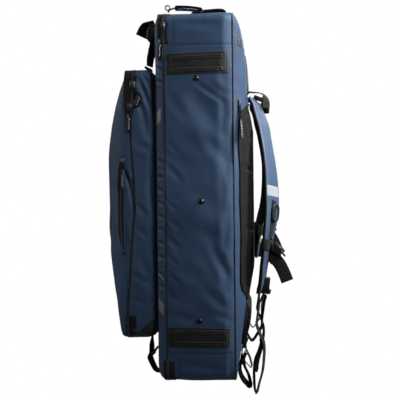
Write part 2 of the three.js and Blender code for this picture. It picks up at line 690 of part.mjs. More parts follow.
// what sits on a strap: side, out and up shares as in the strap table, drawn on the right strap;
// the left strap's own height and reach carry the same pieces
function strapFace(out, up, share) {
  const rows = STRAP_ROWS.map((row) => ({ ...row, up: -row[up], out: row[out] }));
  const reach = between(rows, 'up', 'out', -share);
  return {
    x: between(rows, 'up', 'side', -share) * STRAP_SPREAD,
    y: BACK_FACE + reach * STRAP_REACH + GAP / 2 + STRAP_COVER,
    z: share * BODY_HEIGHT,
    turn: THREE.MathUtils.degToRad(between(rows, 'up', 'turn', -share)),
  };
}

// a piece that lies on a strap's cover, cut to it with a small gap
function seatedOn(coverStops, geometry) {
  const room = band(coverStops.map((stop) => (
    { ...stop, thick: stop.thick + 2 * GAP, width: stop.width + 2 * GAP })));
  return fromSolid(toSolid(geometry).subtract(toSolid(room)));
}

// height share on the left strap of a place that the right strap has at another height
function leftShare(share) {
  const rows = STRAP_ROWS.map((row) => ({ right: -row.upRight, left: row.upLeft }));
  return between(rows, 'right', 'left', -share);
}

const SIDES = [
  { name: 'right', out: 'outRight', up: 'upRight', cover: rightCover, share: (value) => value,
    turn: (geometry) => geometry },
  { name: 'left', out: 'outLeft', up: 'upLeft', cover: leftCover, share: leftShare,
    turn: mirrored },
];

// small webbing ring on the cover's outer face
const RING_PLACE = 0.453;
for (const side of SIDES) {
  const place = side.share(RING_PLACE);
  const high = strapFace(side.out, side.up, place + RING_HEIGHT / 2 / BODY_HEIGHT);
  const low = strapFace(side.out, side.up, place - RING_HEIGHT / 2 / BODY_HEIGHT);
  const middle = strapFace(side.out, side.up, place);
  const corners = [[1, 0.7], [1, -0.7], [0.6, -1], [-0.6, -1], [-1, -0.7], [-1, 0.7], [-0.6, 1],
    [0.6, 1]];
  const seat = RING_WIRE / 2 + GAP * 4;
  const points = corners.map(([across, up]) => {
    const reach = (RING_HEIGHT - RING_WIRE) / 2;
    const end = up > 0 ? high : low;
    const share = Math.abs(up) * (1 - RING_WIRE / RING_HEIGHT);
    const y = middle.y * (1 - share) + end.y * share;
    const aside = across * (RING_SPAN - RING_WIRE) / 2;
    const lean = aside * Math.tan(middle.turn);
    return [middle.x + aside, Math.max(y, middle.y - GAP) - lean + seat, middle.z + up * reach];
  });
  add(`strap_ring_${side.name}`, side.turn(wire(points, RING_WIRE, true)), LOOKS.plastic);
}

// ladder lock, sternum buckle and sternum webbing: outlines in shares of STRAP_REACH from the
// back face and of BODY_HEIGHT, the left ones shifted with their strap
const LOCK_SPAN = WEBBING_WIDTH + RING_WIRE;
const LOCK_EDGE = [
  { out: 0.727, up: 0.233 },
  { out: 0.873, up: 0.244 },
  { out: 0.856, up: 0.266 },
  { out: 0.719, up: 0.275 },
];
const BUCKLE_EDGE = [
  { out: 1.052, up: 0.373 },
  { out: 1.369, up: 0.36 },
  { out: 1.556, up: 0.34 },
  { out: 1.438, up: 0.329 },
  { out: 1.052, up: 0.347 },
];
const STERNUM_ROUTE = [
  { out: 1.04, up: 0.331 },
  { out: 1.302, up: 0.312 },
  { out: 1.469, up: 0.29 },
  { out: 1.619, up: 0.264 },
];
const STERNUM_WIDTH = WEBBING_WIDTH * 0.8;
for (const side of SIDES) {
  const shiftUp = (share) => side.share(share) - share;
  const outAt = (share) => strapFace(side.out, side.up, side.share(share));
  const ownOut = (share) => strapFace('outRight', 'upRight', share);
  const place = (share) => ({ out, up }) => [
    BACK_FACE + out * STRAP_REACH + outAt(share).y - ownOut(share).y,
    (up + shiftUp(share)) * BODY_HEIGHT,
  ];
  const seatAt = (share, up) => {
    const face = strapFace(side.out, side.up, up + shiftUp(share));
    return [face.y - GAP, face.z];
  };
  const lockShare = 0.254;
  const lockOutline = [seatAt(lockShare, 0.2745), seatAt(lockShare, 0.254),
    seatAt(lockShare, 0.2375), ...LOCK_EDGE.map(place(lockShare))];
  const lockX = outAt(lockShare).x;
  add(`ladder_lock_${side.name}`,
    side.turn(seatedOn(side.cover,
      block(lockOutline, 'x', lockX - LOCK_SPAN / 2, lockX + LOCK_SPAN / 2))),
    LOOKS.plastic);
  const buckleShare = 0.36;
  const buckleOutline = [seatAt(buckleShare, 0.374), seatAt(buckleShare, 0.349),
    ...BUCKLE_EDGE.slice().reverse().map(place(buckleShare))];
  const buckleX = outAt(buckleShare).x;
  add(`sternum_buckle_${side.name}`,
    side.turn(seatedOn(side.cover,
      block(buckleOutline, 'x', buckleX - WEBBING_WIDTH / 3, buckleX + WEBBING_WIDTH / 3))),
    LOOKS.plastic);
  add(`sternum_strap_${side.name}`, side.turn(band(
    STERNUM_ROUTE.map(place(buckleShare)).map(([y, z]) => ({
      at: [buckleX, y, z], across: [0, 0.8, 0.6], width: STERNUM_WIDTH, thick: WEBBING_THICK,
    })),
  )), LOOKS.black);
}

// lower webbing: main strand from the lumbar pad up to the ladder lock, then the hanging tail;
// out as share of STRAP_REACH from the back face, up of BODY_HEIGHT, side of STRAP_SPREAD
const LOWER_ROUTE = [
  { out: -0.073, up: 0.121, side: 0.87 },
  { out: 0.0, up: 0.109, side: 0.87 },
  { out: 0.094, up: 0.1, side: 0.87 },
  { out: 0.185, up: 0.102, side: 0.87 },
  { out: 0.323, up: 0.115, side: 0.875 },
  { out: 0.427, up: 0.126, side: 0.88 },
  { out: 0.529, up: 0.139, side: 0.89 },
  { out: 0.552, up: 0.164, side: 0.92 },
  { out: 0.594, up: 0.185, side: 0.95 },
  { out: 0.656, up: 0.212, side: 0.98 },
  { out: 0.69, up: 0.222, side: 0.99 },
  { out: 0.67, up: 0.227, side: 1.0 },
  { out: 0.6, up: 0.226, side: 1.01 },
  { out: 0.523, up: 0.216, side: 1.02 },
  { out: 0.44, up: 0.204, side: 1.04 },
  { out: 0.4, up: 0.186, side: 1.07 },
  { out: 0.354, up: 0.165, side: 1.11 },
  { out: 0.331, up: 0.149, side: 1.14 },
  { out: 0.412, up: 0.133, side: 1.16 },
  { out: 0.49, up: 0.119, side: 1.17 },
  { out: 0.565, up: 0.101, side: 1.17 },
  { out: 0.562, up: 0.082, side: 1.17 },
  { out: 0.46, up: 0.066, side: 1.17 },
  { out: 0.3, up: 0.047, side: 1.16 },
  { out: 0.156, up: 0.031, side: 1.15 },
  { out: 0.119, up: 0.014, side: 1.14 },
  { out: 0.104, up: -0.007, side: 1.13 },
  { out: 0.094, up: -0.021, side: 1.13 },
  { out: 0.071, up: -0.035, side: 1.12 },
  { out: 0.102, up: -0.042, side: 1.12 },
];
const backStop = (row) => [
  row.side * STRAP_SPREAD, BACK_FACE + row.out * STRAP_REACH, row.up * BODY_HEIGHT,
];
const flatBand = (rows, width, thick) => band(rows.map((row) => ({
  at: backStop(row), across: [1, 0, 0], width, thick: thick * (row.thick ?? 1),
})));
addPair('lower_webbing', flatBand(LOWER_ROUTE, WEBBING_WIDTH, WEBBING_THICK), LOOKS.black);

// load lifter: webbing from the back face over its buckle to a folded tail
const LIFTER_ROUTE = [
  { out: 0.03, up: 0.783, side: 0.57 },
  { out: 0.037, up: 0.789, side: 0.57 },
  { out: 0.115, up: 0.7945, side: 0.57 },
  { out: 0.281, up: 0.7935, side: 0.57 },
  { out: 0.531, up: 0.791, side: 0.57 },
  { out: 0.71, up: 0.787, side: 0.57 },
  { out: 0.8, up: 0.777, side: 0.57 },
  { out: 0.795, up: 0.76, side: 0.57, thick: 3 },
  { out: 0.77, up: 0.741, side: 0.57, thick: 3.4 },
];
addPair('load_lifter', flatBand(LIFTER_ROUTE, WEBBING_WIDTH, WEBBING_THICK), LOOKS.black);
const lifterSeat = [0.7655, 0.775, 0.784].map((share) => {
  const face = strapFace('outRight', 'upRight', share);
  return [face.y - GAP, face.z];
});
const LIFTER_EDGE = [
  { out: 0.406, up: 0.786 },
  { out: 0.64, up: 0.784 },
  { out: 0.7, up: 0.776 },
  { out: 0.594, up: 0.767 },
  { out: 0.44, up: 0.7655 },
];
const lifterX = LIFTER_ROUTE[0].side * STRAP_SPREAD;
addPair('lifter_buckle', seatedOn(rightCover, block(
  [...lifterSeat, ...LIFTER_EDGE.map(({ out, up }) => (
    [BACK_FACE + out * STRAP_REACH, up * BODY_HEIGHT]))],
  'x', lifterX - LOCK_SPAN / 2, lifterX + LOCK_SPAN / 2,
)), LOOKS.plastic);

// hip loop: webbing loop that hangs at the bottom of the back
const HIP_SIDE = SIDE_FACE * 0.66;
const HIP_ROUTE = [
  { out: -0.33, up: 0.063 },
  { out: -0.338, up: 0.05 },
  { out: -0.377, up: 0.035 },
  { out: -0.398, up: 0.022 },
  { out: -0.354, up: 0.006 },
  { out: -0.24, up: -0.008 },
  { out: -0.106, up: -0.018 },
  { out: 0.01, up: -0.0255 },
  { out: 0.05, up: -0.018 },
  { out: 0.01, up: -0.006 },
  { out: -0.037, up: 0.006 },
  { out: -0.121, up: 0.018 },
  { out: -0.204, up: 0.031 },
  { out: -0.215, up: 0.047 },
  { out: -0.219, up: 0.061 },
];
addPair('hip_loop', flatBand(HIP_ROUTE.map((row) => ({ ...row, side: HIP_SIDE / STRAP_SPREAD })),
  WEBBING_WIDTH * 0.8, WEBBING_THICK), LOOKS.black);

// Front straps: upper buckle on the lid, lock on the pocket, lower webbing under it

const FRONT_SIDE = POCKET_WIDTH * 0.345;
const FRONT_LOW = FRONT_SIDE - LOCK_SPAN / 2;
const FRONT_HIGH = FRONT_SIDE + LOCK_SPAN / 2;
const LOCK_TALL = SNAP_SIZE * 0.8;
const LOCK_TOP = POCKET_TOP + 2 * GAP + LOCK_TALL;
const upperPlace = ({ out, up }) => [
  LID_FACE - out * WEBBING_WIDTH, LOCK_TOP + up * (BODY_HEIGHT - LOCK_TOP),
];
const lowerPlace = ({ out, up }) => [LID_FACE - out * WEBBING_WIDTH, up * POCKET_LIFT];

// out: share of WEBBING_WIDTH from the lid's face; up: share from the pocket lock's top to the bag's
const UPPER_ROUTE = [
  { out: 0.64, up: 0.01 },
  { out: 0.664, up: 0.224 },
  { out: 0.44, up: 0.383 },
  { out: 0.128, up: 0.506 },
  { out: 0.06, up: 0.587 },
  { out: 0.06, up: 0.848 },
  { out: 0.112, up: 0.939 },
  { out: 0.32, up: 0.984 },
  { out: 0.76, up: 0.979 },
  { out: 0.98, up: 0.92 },
  { out: 1.14, up: 0.768 },
  { out: 1.34, up: 0.632 },
];
const TAIL_TURN = 24;
const tailTurn = (row) => (row < 9 ? 0 : THREE.MathUtils.degToRad(TAIL_TURN * (row - 8) / 3));
addPair('front_top_strap', band(UPPER_ROUTE.map(upperPlace).map(([y, z], row) => ({
  at: [FRONT_SIDE, y, z],
  across: [Math.cos(tailTurn(row)), -Math.sin(tailTurn(row)), 0],
  width: WEBBING_WIDTH,
  thick: WEBBING_THICK,
}))), LOOKS.black);
const UPPER_BUCKLE = [
  { out: 0.13, up: 0.577 },
  { out: 0.48, up: 0.527 },
  { out: 0.7, up: 0.536 },
  { out: 0.76, up: 0.728 },
  { out: 0.78, up: 0.879 },
  { out: 0.68, up: 0.945 },
  { out: 0.2, up: 0.945 },
  { out: 0.13, up: 0.889 },
];
addPair('front_top_buckle', block(UPPER_BUCKLE.map(upperPlace), 'x', FRONT_LOW, FRONT_HIGH),
  LOOKS.plastic);
const lockY = (out) => LID_FACE - out * WEBBING_WIDTH;
addPair('front_top_lock', block([
  [lockY(1.0), POCKET_TOP + GAP], [lockY(0.48), POCKET_TOP + GAP],
  [lockY(0.48), POCKET_TOP + GAP + LOCK_TALL], [lockY(0.9), POCKET_TOP + GAP + LOCK_TALL],
], 'x', FRONT_LOW, FRONT_HIGH), LOOKS.plastic);

// out: share of WEBBING_WIDTH from the lid's face; up: share of POCKET_LIFT
const LOWER_FRONT = [
  { out: 0.66, up: 0.975 },
  { out: 0.704, up: 0.815 },
  { out: 0.712, up: 0.593 },
  { out: 0.82, up: 0.506 },
  { out: 0.836, up: 0.444 },
  { out: 0.64, up: 0.299 },
  { out: 0.424, up: 0.174 },
  { out: 0.14, up: 0.119 },
  { out: -0.12, up: 0.11 },
];
addPair('front_bottom_strap', band(LOWER_FRONT.map(lowerPlace).map(([y, z]) => ({
  at: [FRONT_SIDE, y, z], across: [1, 0, 0], width: WEBBING_WIDTH, thick: WEBBING_THICK,
}))), LOOKS.black);
const LOWER_BLOCK = [
  { out: 0.64, up: 0.56 },
  { out: 0.64, up: 0.69 },
  { out: 0.2, up: 0.69 },
  { out: 0.2, up: 0.56 },
];
addPair('front_bottom_lock', block(LOWER_BLOCK.map(lowerPlace), 'x', FRONT_LOW, FRONT_HIGH),
  LOOKS.plastic);

// Zip pulls: slider and tab in one, each hanging from its zip

const pull = (name, stops) => add(name, band(stops.map(([at, across, width]) => ({
  at, across, width: width * PULL_WIDTH, thick: PULL_THICK,
}))), LOOKS.plastic);
const PROUD = ZIP_PROUD + GAP + PULL_THICK / 2;
const TOP_PULL_SIDE = SIDE_FACE * 0.8;
const zipTop = BODY_HEIGHT + PROUD;
pull('zip_pull_top', [
  [[TOP_PULL_SIDE, ZIP_PLANE - HALF_ZIP, zipTop], [1, 0, 0], 0.7],
  [[TOP_PULL_SIDE, ZIP_PLANE + HALF_ZIP, zipTop], [1, 0, 0], 0.7],
  [[TOP_PULL_SIDE, ZIP_PLANE + ZIP_WIDTH * 1.4, zipTop + PULL_THICK * 2], [1, 0, 0], 0.7],
  [[TOP_PULL_SIDE, ZIP_PLANE + PANEL_DEPTH * 0.07, zipTop + PULL_THICK * 4], [1, 0, 0], 0.7],
  [[TOP_PULL_SIDE, ZIP_PLANE + PANEL_DEPTH * 0.14, zipTop + PULL_THICK * 4.9], [1, 0, 0], 1],
  [[TOP_PULL_SIDE, ZIP_PLANE + PANEL_DEPTH * 0.35, zipTop + PULL_THICK * 4.2], [1, 0, 0], 1],
  [[TOP_PULL_SIDE, ZIP_PLANE + PANEL_DEPTH * 0.55, zipTop + PULL_THICK * 2], [1, 0, 0], 1],
]);
const sidePull = SIDE_FACE + PROUD;
pull('zip_pull_side', [
  [[sidePull, ZIP_PLANE - HALF_ZIP, BODY_HEIGHT * 0.976], [0, 1, 0], 0.75],
  [[sidePull, ZIP_PLANE - HALF_ZIP, BODY_HEIGHT * 0.955], [0, 1, 0], 0.75],
  [[sidePull, ZIP_PLANE - ZIP_WIDTH * 1.6, BODY_HEIGHT * 0.93], [0, 1, 0], 1.1],
  [[sidePull, ZIP_PLANE - ZIP_WIDTH * 2.5, BODY_HEIGHT * 0.87], [0, 1, 0], 1.1],
]);
const pocketPull = POCKET_SIDE + PROUD;
pull('zip_pull_pocket_upper', [
  [[pocketPull, POCKET_PLANE + HALF_ZIP, POCKET_TOP - POCKET_HEIGHT * 0.042], [0, 1, 0], 0.8],
  [[pocketPull, POCKET_PLANE + HALF_ZIP, POCKET_TOP - POCKET_HEIGHT * 0.073], [0, 1, 0], 0.8],
  [[pocketPull, POCKET_PLANE + POCKET_GUSSET * 0.1, POCKET_TOP - POCKET_HEIGHT * 0.095],
    [0, 0.7, 0.7], 0.6],
  [[pocketPull, POCKET_PLANE + POCKET_GUSSET * 0.34, POCKET_TOP - POCKET_HEIGHT * 0.108],
    [0, 0, 1], 0.6],
]);
pull('zip_pull_pocket_lower', [
  [[pocketPull, POCKET_PLANE - ZIP_WIDTH, POCKET_TOP - POCKET_HEIGHT * 0.125], [0, 1, 0], 0.8],
  [[pocketPull, POCKET_PLANE - ZIP_WIDTH, POCKET_TOP - POCKET_HEIGHT * 0.15], [0, 1, 0], 0.8],
  [[pocketPull, POCKET_PLANE - ZIP_WIDTH, POCKET_TOP - POCKET_HEIGHT * 0.165], [0, 1, 0], 1],
  [[pocketPull, POCKET_PLANE - ZIP_WIDTH * 1.5, POCKET_TOP - POCKET_HEIGHT * 0.236], [0, 1, 0], 1],
]);

// place on a sloping row of a section table, with the directions out of it and along it
function slopePlace(low, high, share) {
  const across = unit(less(high, low));
  const out = [Math.abs(across[1]), Math.abs(across[0]) * Math.sign(low[1]), 0];
  return { at: sum(times(low, 1 - share), times(high, share)), across, out: unit(out) };
}
const frontRow = (index) => [
  POCKET_SIDE - POCKET_FRONT_ROWS[index].side * POCKET_WIDTH,
  POCKET_PLANE - POCKET_FRONT_ROWS[index].forward * POCKET_BULGE, 0,
];
const backRow = (index) => [
  SIDE_FACE - BACK_ROWS[index].side * BODY_WIDTH,
  PIPING_PLANE + BACK_ROWS[index].out * BACK_BULGE, 0,
];
const onSlope = (slope, lift, z) => {
  const [x, y] = sum(slope.at, times(slope.out, lift));
  return [x, y, z];
};
const SKIN = PATCH_THICK + GAP * 3 + PULL_THICK / 2;
const slashSlope = slopePlace(frontRow(1), frontRow(2), 0.6);
pull('zip_pull_slash', [
  [onSlope(slashSlope, SKIN, SLASH_TOP), slashSlope.across, 0.6],
  [onSlope(slashSlope, SKIN, SLASH_TOP - POCKET_HEIGHT * 0.022), slashSlope.across, 0.6],
  [onSlope(slashSlope, SKIN, SLASH_TOP - POCKET_HEIGHT * 0.04), slashSlope.across, 1],
  [onSlope(slashSlope, SKIN * 1.4, SLASH_TOP - POCKET_HEIGHT * 0.118), slashSlope.across, 1],
]);
const backSlope = slopePlace(backRow(1), backRow(2), 0.5);
const BARE = GAP * 2 + PULL_THICK / 2;
pull('zip_pull_back', [
  [onSlope(backSlope, BARE, BODY_HEIGHT * 0.784), backSlope.across, 0.4],
  [onSlope(backSlope, BARE * 1.3, BODY_HEIGHT * 0.755), backSlope.across, 0.4],
  [onSlope(backSlope, BARE * 1.8, BODY_HEIGHT * 0.735), backSlope.across, 0.8],
  [onSlope(backSlope, BARE * 3, BODY_HEIGHT * 0.68), backSlope.across, 0.9],
]);

const root = new THREE.Group();
root.add(model);
model.position.set(0, -HANDLE_MIDDLE, -(BODY_HEIGHT + GAP + HANDLE_RISE * 0.97));

export default root;
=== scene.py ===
"""Looks of the archery backpack: coated cloth shells with folds and seams, padded panels,
webbing, buckles and zips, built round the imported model. Lengths in millimetres from the bag's
base, X across the wearer, -Y to the pocket, +Y to the straps; placed() moves them to the frame."""

import math

import bmesh
import bpy
import numpy as np
from mathutils import Matrix, Quaternion, Vector
from mathutils.bvhtree import BVHTree


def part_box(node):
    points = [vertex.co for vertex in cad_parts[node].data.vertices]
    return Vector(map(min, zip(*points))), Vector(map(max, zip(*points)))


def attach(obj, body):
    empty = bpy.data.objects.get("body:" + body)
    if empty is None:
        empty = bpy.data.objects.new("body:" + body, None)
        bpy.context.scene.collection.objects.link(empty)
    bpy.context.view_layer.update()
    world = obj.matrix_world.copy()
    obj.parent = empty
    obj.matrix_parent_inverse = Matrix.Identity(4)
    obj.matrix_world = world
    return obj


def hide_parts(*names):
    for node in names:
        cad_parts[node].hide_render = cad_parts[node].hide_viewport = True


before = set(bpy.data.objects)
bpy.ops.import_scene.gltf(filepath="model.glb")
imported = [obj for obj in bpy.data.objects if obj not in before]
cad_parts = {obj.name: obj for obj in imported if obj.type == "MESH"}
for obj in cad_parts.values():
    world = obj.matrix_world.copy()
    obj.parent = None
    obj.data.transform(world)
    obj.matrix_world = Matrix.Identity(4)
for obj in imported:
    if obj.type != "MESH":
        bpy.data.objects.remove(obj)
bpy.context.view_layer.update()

# Sizes of the bag, as in the model's source

BODY_HEIGHT = 723.0
BODY_WIDTH = 296.0
PANEL_DEPTH = 134.0
LID_DEPTH = 20.0
BACK_BULGE = 25.5
BODY_CORNER = 18.0
ZIP_WIDTH = 4.0
GAP = 0.3
PIPING_SIZE = 3.6
POCKET_HEIGHT = 534.0
POCKET_WIDTH = 260.0
POCKET_LIFT = 82.0
POCKET_GUSSET = 48.0
POCKET_BULGE = 62.0
POCKET_CORNER = 19.0
PAD_THICK = 6.5
STRAP_COVER = 6.0
STRAP_SPREAD = 105.0
STRAP_REACH = 48.0
STRAP_WIDTH = 64.0
WEBBING_WIDTH = 25.0
WEBBING_THICK = 2.0
HANDLE_RISE = 31.0
HANDLE_LENGTH = 96.0
HANDLE_WIDTH = 28.0
HANDLE_THICK = 3.2
PULL_WIDTH = 11.0
PULL_THICK = 2.4

ZIP_PLANE = -PANEL_DEPTH / 2
PIPING_PLANE = PANEL_DEPTH / 2
LID_FACE = ZIP_PLANE - LID_DEPTH
BACK_FACE = PIPING_PLANE + BACK_BULGE
SIDE_FACE = BODY_WIDTH / 2
POCKET_BACK = LID_FACE - GAP
POCKET_PLANE = POCKET_BACK - POCKET_GUSSET
POCKET_SIDE = POCKET_WIDTH / 2
POCKET_TOP = POCKET_LIFT + POCKET_HEIGHT
HALF_ZIP = ZIP_WIDTH / 2
HANDLE_MIDDLE = PANEL_DEPTH * 0.09
ORIGIN = np.array([0.0, HANDLE_MIDDLE, BODY_HEIGHT + GAP + HANDLE_RISE * 0.97])
METRE = 0.001

# lid sections: forward and inset as shares of LID_DEPTH, corner as a share of BODY_CORNER
LID_ROWS = [
    (0.1, 0.0, 1.0), (0.16, 0.0, 1.0), (0.42, 0.08, 1.0), (0.66, 0.26, 1.0), (0.86, 0.54, 1.0),
    (0.97, 0.86, 1.0), (1.0, 1.2, 1.0),
]
# back sections: out as a share of BACK_BULGE, inset of the sides as a share of BODY_WIDTH,
# inset of top and base as shares of BODY_HEIGHT, corner as a share of BODY_CORNER
BACK_ROWS = [
    (0.0, 0.0, 0.0, 0.0, 1.0), (0.15, 0.012, 0.006, 0.026, 1.1), (0.35, 0.028, 0.019, 0.07, 1.3),
    (0.53, 0.044, 0.036, 0.115, 1.55), (0.7, 0.061, 0.064, 0.157, 1.8),
    (0.85, 0.078, 0.094, 0.2, 2.1), (0.95, 0.095, 0.128, 0.25, 2.3), (1.0, 0.115, 0.17, 0.29, 2.5),
]
# gusset sections: forward and inset as shares of POCKET_GUSSET
POCKET_ROWS = [
    (0.96, 0.0), (0.75, 0.0), (0.55, 0.0), (0.36, 0.01), (0.2, 0.06), (0.08, 0.17), (0.0, 0.36),
]
# pocket front sections: forward as a share of POCKET_BULGE, inset of the sides as a share of
# POCKET_WIDTH, inset of top and base as shares of POCKET_HEIGHT, corner as a share of POCKET_CORNER
POCKET_FRONT_ROWS = [
    (0.036, 0.0, 0.0, 0.0, 1.0), (0.2, 0.004, 0.0, 0.001, 1.05), (0.36, 0.018, 0.003, 0.012, 1.4),
    (0.5, 0.045, 0.034, 0.07, 1.4), (0.62, 0.085, 0.095, 0.125, 1.7),
    (0.74, 0.14, 0.155, 0.18, 2.0), (0.85, 0.205, 0.22, 0.235, 2.1),
    (0.93, 0.27, 0.275, 0.285, 2.1), (0.98, 0.34, 0.33, 0.335, 1.9), (1.0, 0.41, 0.39, 0.4, 1.2),
]
# sway of the pocket's zip: share of POCKET_HEIGHT, shift as a share of POCKET_GUSSET
POCKET_WANDER = [
    (0.0, -0.24), (0.1, -0.26), (0.25, -0.12), (0.38, -0.02), (0.48, 0.1), (0.62, 0.04),
    (0.74, -0.06), (0.86, 0.0), (1.0, 0.06),
]
# strap stations: share of STRAP_SPREAD; of STRAP_REACH for the right and the left strap; of
# BODY_HEIGHT for the right and the left strap; of STRAP_WIDTH; turn to the side in degrees
STRAP_ROWS = [
    (0.56, 0.18, 0.18, 0.775, 0.775, 0.86, 6), (0.57, 0.25, 0.25, 0.768, 0.768, 0.89, 9),
    (0.59, 0.36, 0.36, 0.758, 0.758, 0.92, 13), (0.61, 0.48, 0.48, 0.738, 0.738, 0.95, 16),
    (0.65, 0.58, 0.56, 0.717, 0.717, 0.97, 18), (0.69, 0.68, 0.65, 0.694, 0.694, 1, 18),
    (0.73, 0.75, 0.72, 0.666, 0.668, 1, 17), (0.77, 0.83, 0.8, 0.634, 0.638, 1, 17),
    (0.81, 0.91, 0.87, 0.597, 0.604, 1, 18), (0.84, 0.97, 0.9, 0.555, 0.57, 1, 20),
    (0.87, 1, 0.9, 0.511, 0.535, 1, 22), (0.9, 1, 0.85, 0.466, 0.5, 0.98, 22),
    (0.93, 0.93, 0.74, 0.423, 0.468, 0.95, 20), (0.95, 0.83, 0.58, 0.382, 0.438, 0.9, 16),
    (0.97, 0.74, 0.44, 0.343, 0.41, 0.84, 11), (0.985, 0.65, 0.38, 0.307, 0.382, 0.76, 9),
    (0.995, 0.58, 0.34, 0.271, 0.355, 0.66, 7), (1, 0.5, 0.32, 0.248, 0.33, 0.56, 4),
    (1, 0.37, 0.31, 0.232, 0.312, 0.46, 2),
]


# Number helpers

def unit(v):
    """vectors brought to length one"""
    return v / np.maximum(np.linalg.norm(v, axis=-1, keepdims=True), 1e-9)


def placed(points):
    """millimetres from the bag's base to metres in the shared frame"""
    return (np.asarray(points, float) - ORIGIN) * METRE


def spline(values, t):
    """smooth curve through the rows of values, at row places t"""
    v = np.asarray(values, float)
    t = np.clip(np.asarray(t, float), 0, len(v) - 1)
    i = np.minimum(t.astype(int), len(v) - 2)
    f = (t - i)[:, None]
    a, b, c, d = v[np.maximum(i - 1, 0)], v[i], v[i + 1], v[np.minimum(i + 2, len(v) - 1)]
    return 0.5 * (2 * b + (c - a) * f + (2 * a - 5 * b + 4 * c - d) * f**2
                  + (3 * b - a - 3 * c + d) * f**3)


def run_of(path):
    """distance along a path, from 0 at its start"""
    return np.concatenate([[0], np.cumsum(np.linalg.norm(np.diff(path, axis=0), axis=1))])


def smooth_path(points, step=2.5):
    """evenly spaced points on a smooth curve through the given ones"""
    fine = spline(points, np.linspace(0, len(points) - 1, len(points) * 12))
    run = run_of(fine[:, :3])
    count = max(3, int(run[-1] / step) + 1)
    even = np.linspace(0, run[-1], count)
    return np.stack([np.interp(even, run, fine[:, k]) for k in range(fine.shape[1])], 1)


def by_share(path, table):
    """a value for each point of a path, from shares of its length"""
    return np.interp(np.linspace(0, 1, len(path)), *table)


def scatter(cell, seed):
    """number from -1 to 1 for each cell of a grid, the same for the same seed"""
    n = cell[..., 0] * 374761393 + cell[..., 1] * 668265263 + cell[..., 2] * 2147483647 + seed * 97
    n = (n ^ (n >> 13)) * 1274126177
    n = (n ^ (n >> 16)) & 0xFFFF
    return n / 32767.5 - 1


def lumps(points, size, seed=1):
    """soft random field from -1 to 1, with lumps of about the given size"""
    p = np.asarray(points, float) / size + 500.0
    cell = np.floor(p).astype(np.int64)
    f = p - cell
    f = f * f * (3 - 2 * f)
    total = 0
    for corner in range(8):
        bits = np.array([corner & 1, corner >> 1 & 1, corner >> 2 & 1])
        weight = np.prod(np.where(bits, f, 1 - f), axis=-1)
        total = total + weight * scatter(cell + bits, seed)
    return total


def line_distance(a, b, p0, p1):
    """distance to a straight stretch, and the share along it, in a panel's plane"""
    along = np.array([p1[0] - p0[0], p1[1] - p0[1]], float)
    share = ((a - p0[0]) * along[0] + (b - p0[1]) * along[1]) / (along @ along)
    s = np.clip(share, 0, 1)
    return np.hypot(a - p0[0] - s * along[0], b - p0[1] - s * along[1]), s


def creases(a, b, table):
    """height of soft folds: each has two ends in the panel's plane, a width and a depth"""
    height = np.zeros_like(a)
    for a0, b0, a1, b1, width, depth in table:
        away, s = line_distance(a, b, (a0, b0), (a1, b1))
        fade = 0.25 + 0.75 * np.sin(np.pi * np.clip(s, 0.02, 0.98)) ** 0.7
        q = away / width
        height -= depth * fade * (np.exp(-q**2) - 0.45 * np.exp(-(q - 1.9) ** 2))
    return height


def press_seams(push, a, b, lines, depth, width, share):
    """sinks sewn seams into a panel's push, where share is above 0"""
    for p0, p1 in lines:
        away, _ = line_distance(a, b, p0, p1)
        push -= depth * np.exp(-(away / width) ** 2) * share


# Mesh helpers

def add_mesh(name, points, faces, material, uv=None, wear_and_highlight=None, node=(),
             recalc=True):
    """visual piece on the body: its mesh, weave coordinates, model piece and slot"""
    mesh = bpy.data.meshes.new(name)
    mesh.from_pydata(placed(points).tolist(), [], [list(map(int, f)) for f in faces])
    if uv is not None:
        layer = mesh.uv_layers.new(name="UVMap")
        layer.data.foreach_set("uv", np.asarray(uv, float).reshape(-1))
    if wear_and_highlight is not None:
        mesh.attributes.new("wear_and_highlight", "FLOAT", "POINT").data.foreach_set("value", wear_and_highlight.reshape(-1))
    mesh.polygons.foreach_set("use_smooth", [True] * len(mesh.polygons))
    mesh.update()
    if recalc:
        bm = bmesh.new()
        bm.from_mesh(mesh)
        bmesh.ops.recalc_face_normals(bm, faces=bm.faces)
        bm.to_mesh(mesh)
        bm.free()
    mesh.materials.append(material)
    piece = bpy.data.objects.new(name, mesh)
    bpy.context.collection.objects.link(piece)
    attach(piece, "root")
    if node:
        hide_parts(*([node] if isinstance(node, str) else node))
    return piece


def grid_faces(rows, cols, around=False, looped=False):
    """quads of a grid, with each quad's row and column; it may close across and along"""
    r = np.arange(rows if looped else rows - 1)
    c = np.arange(cols if around else cols - 1)
    R, C = np.meshgrid(r, c, indexing="ij")
    R2, C2 = (R + 1) % rows, (C + 1) % cols
    quads = np.stack([R * cols + C, R * cols + C2, R2 * cols + C2, R2 * cols + C], -1)
    return quads.reshape(-1, 4), R.reshape(-1), C.reshape(-1)


def with_ends(faces, rows, cols):
    """faces of a strip of rings, and one face over each open end"""
    return [list(f) for f in faces] + [list(range(cols)), list(range((rows - 1) * cols, rows * cols))]


def grid_uv(R, C, U, V):
    """U by column and V by row, each one longer than the grid where it wraps; metres"""
    u = np.stack([U[C], U[C + 1], U[C + 1], U[C]], 1)
    v = np.stack([V[R], V[R], V[R + 1], V[R + 1]], 1)
    return np.stack([u, v], -1) * METRE


def grid_normals(P):
    """normals of rows of closed rings, pointing away from each ring's middle"""
    du = np.roll(P, -1, 1) - np.roll(P, 1, 1)
    dv = np.gradient(P, axis=0)
    n = unit(np.cross(du, dv))
    if np.sum(n * (P - P.mean(axis=1, keepdims=True))) < 0:
        n = -n
    return n


# points of a ring along a side, along top or base, and round a corner
WALL_CELLS, CAP_CELLS, ARC_CELLS = 250, 86, 8


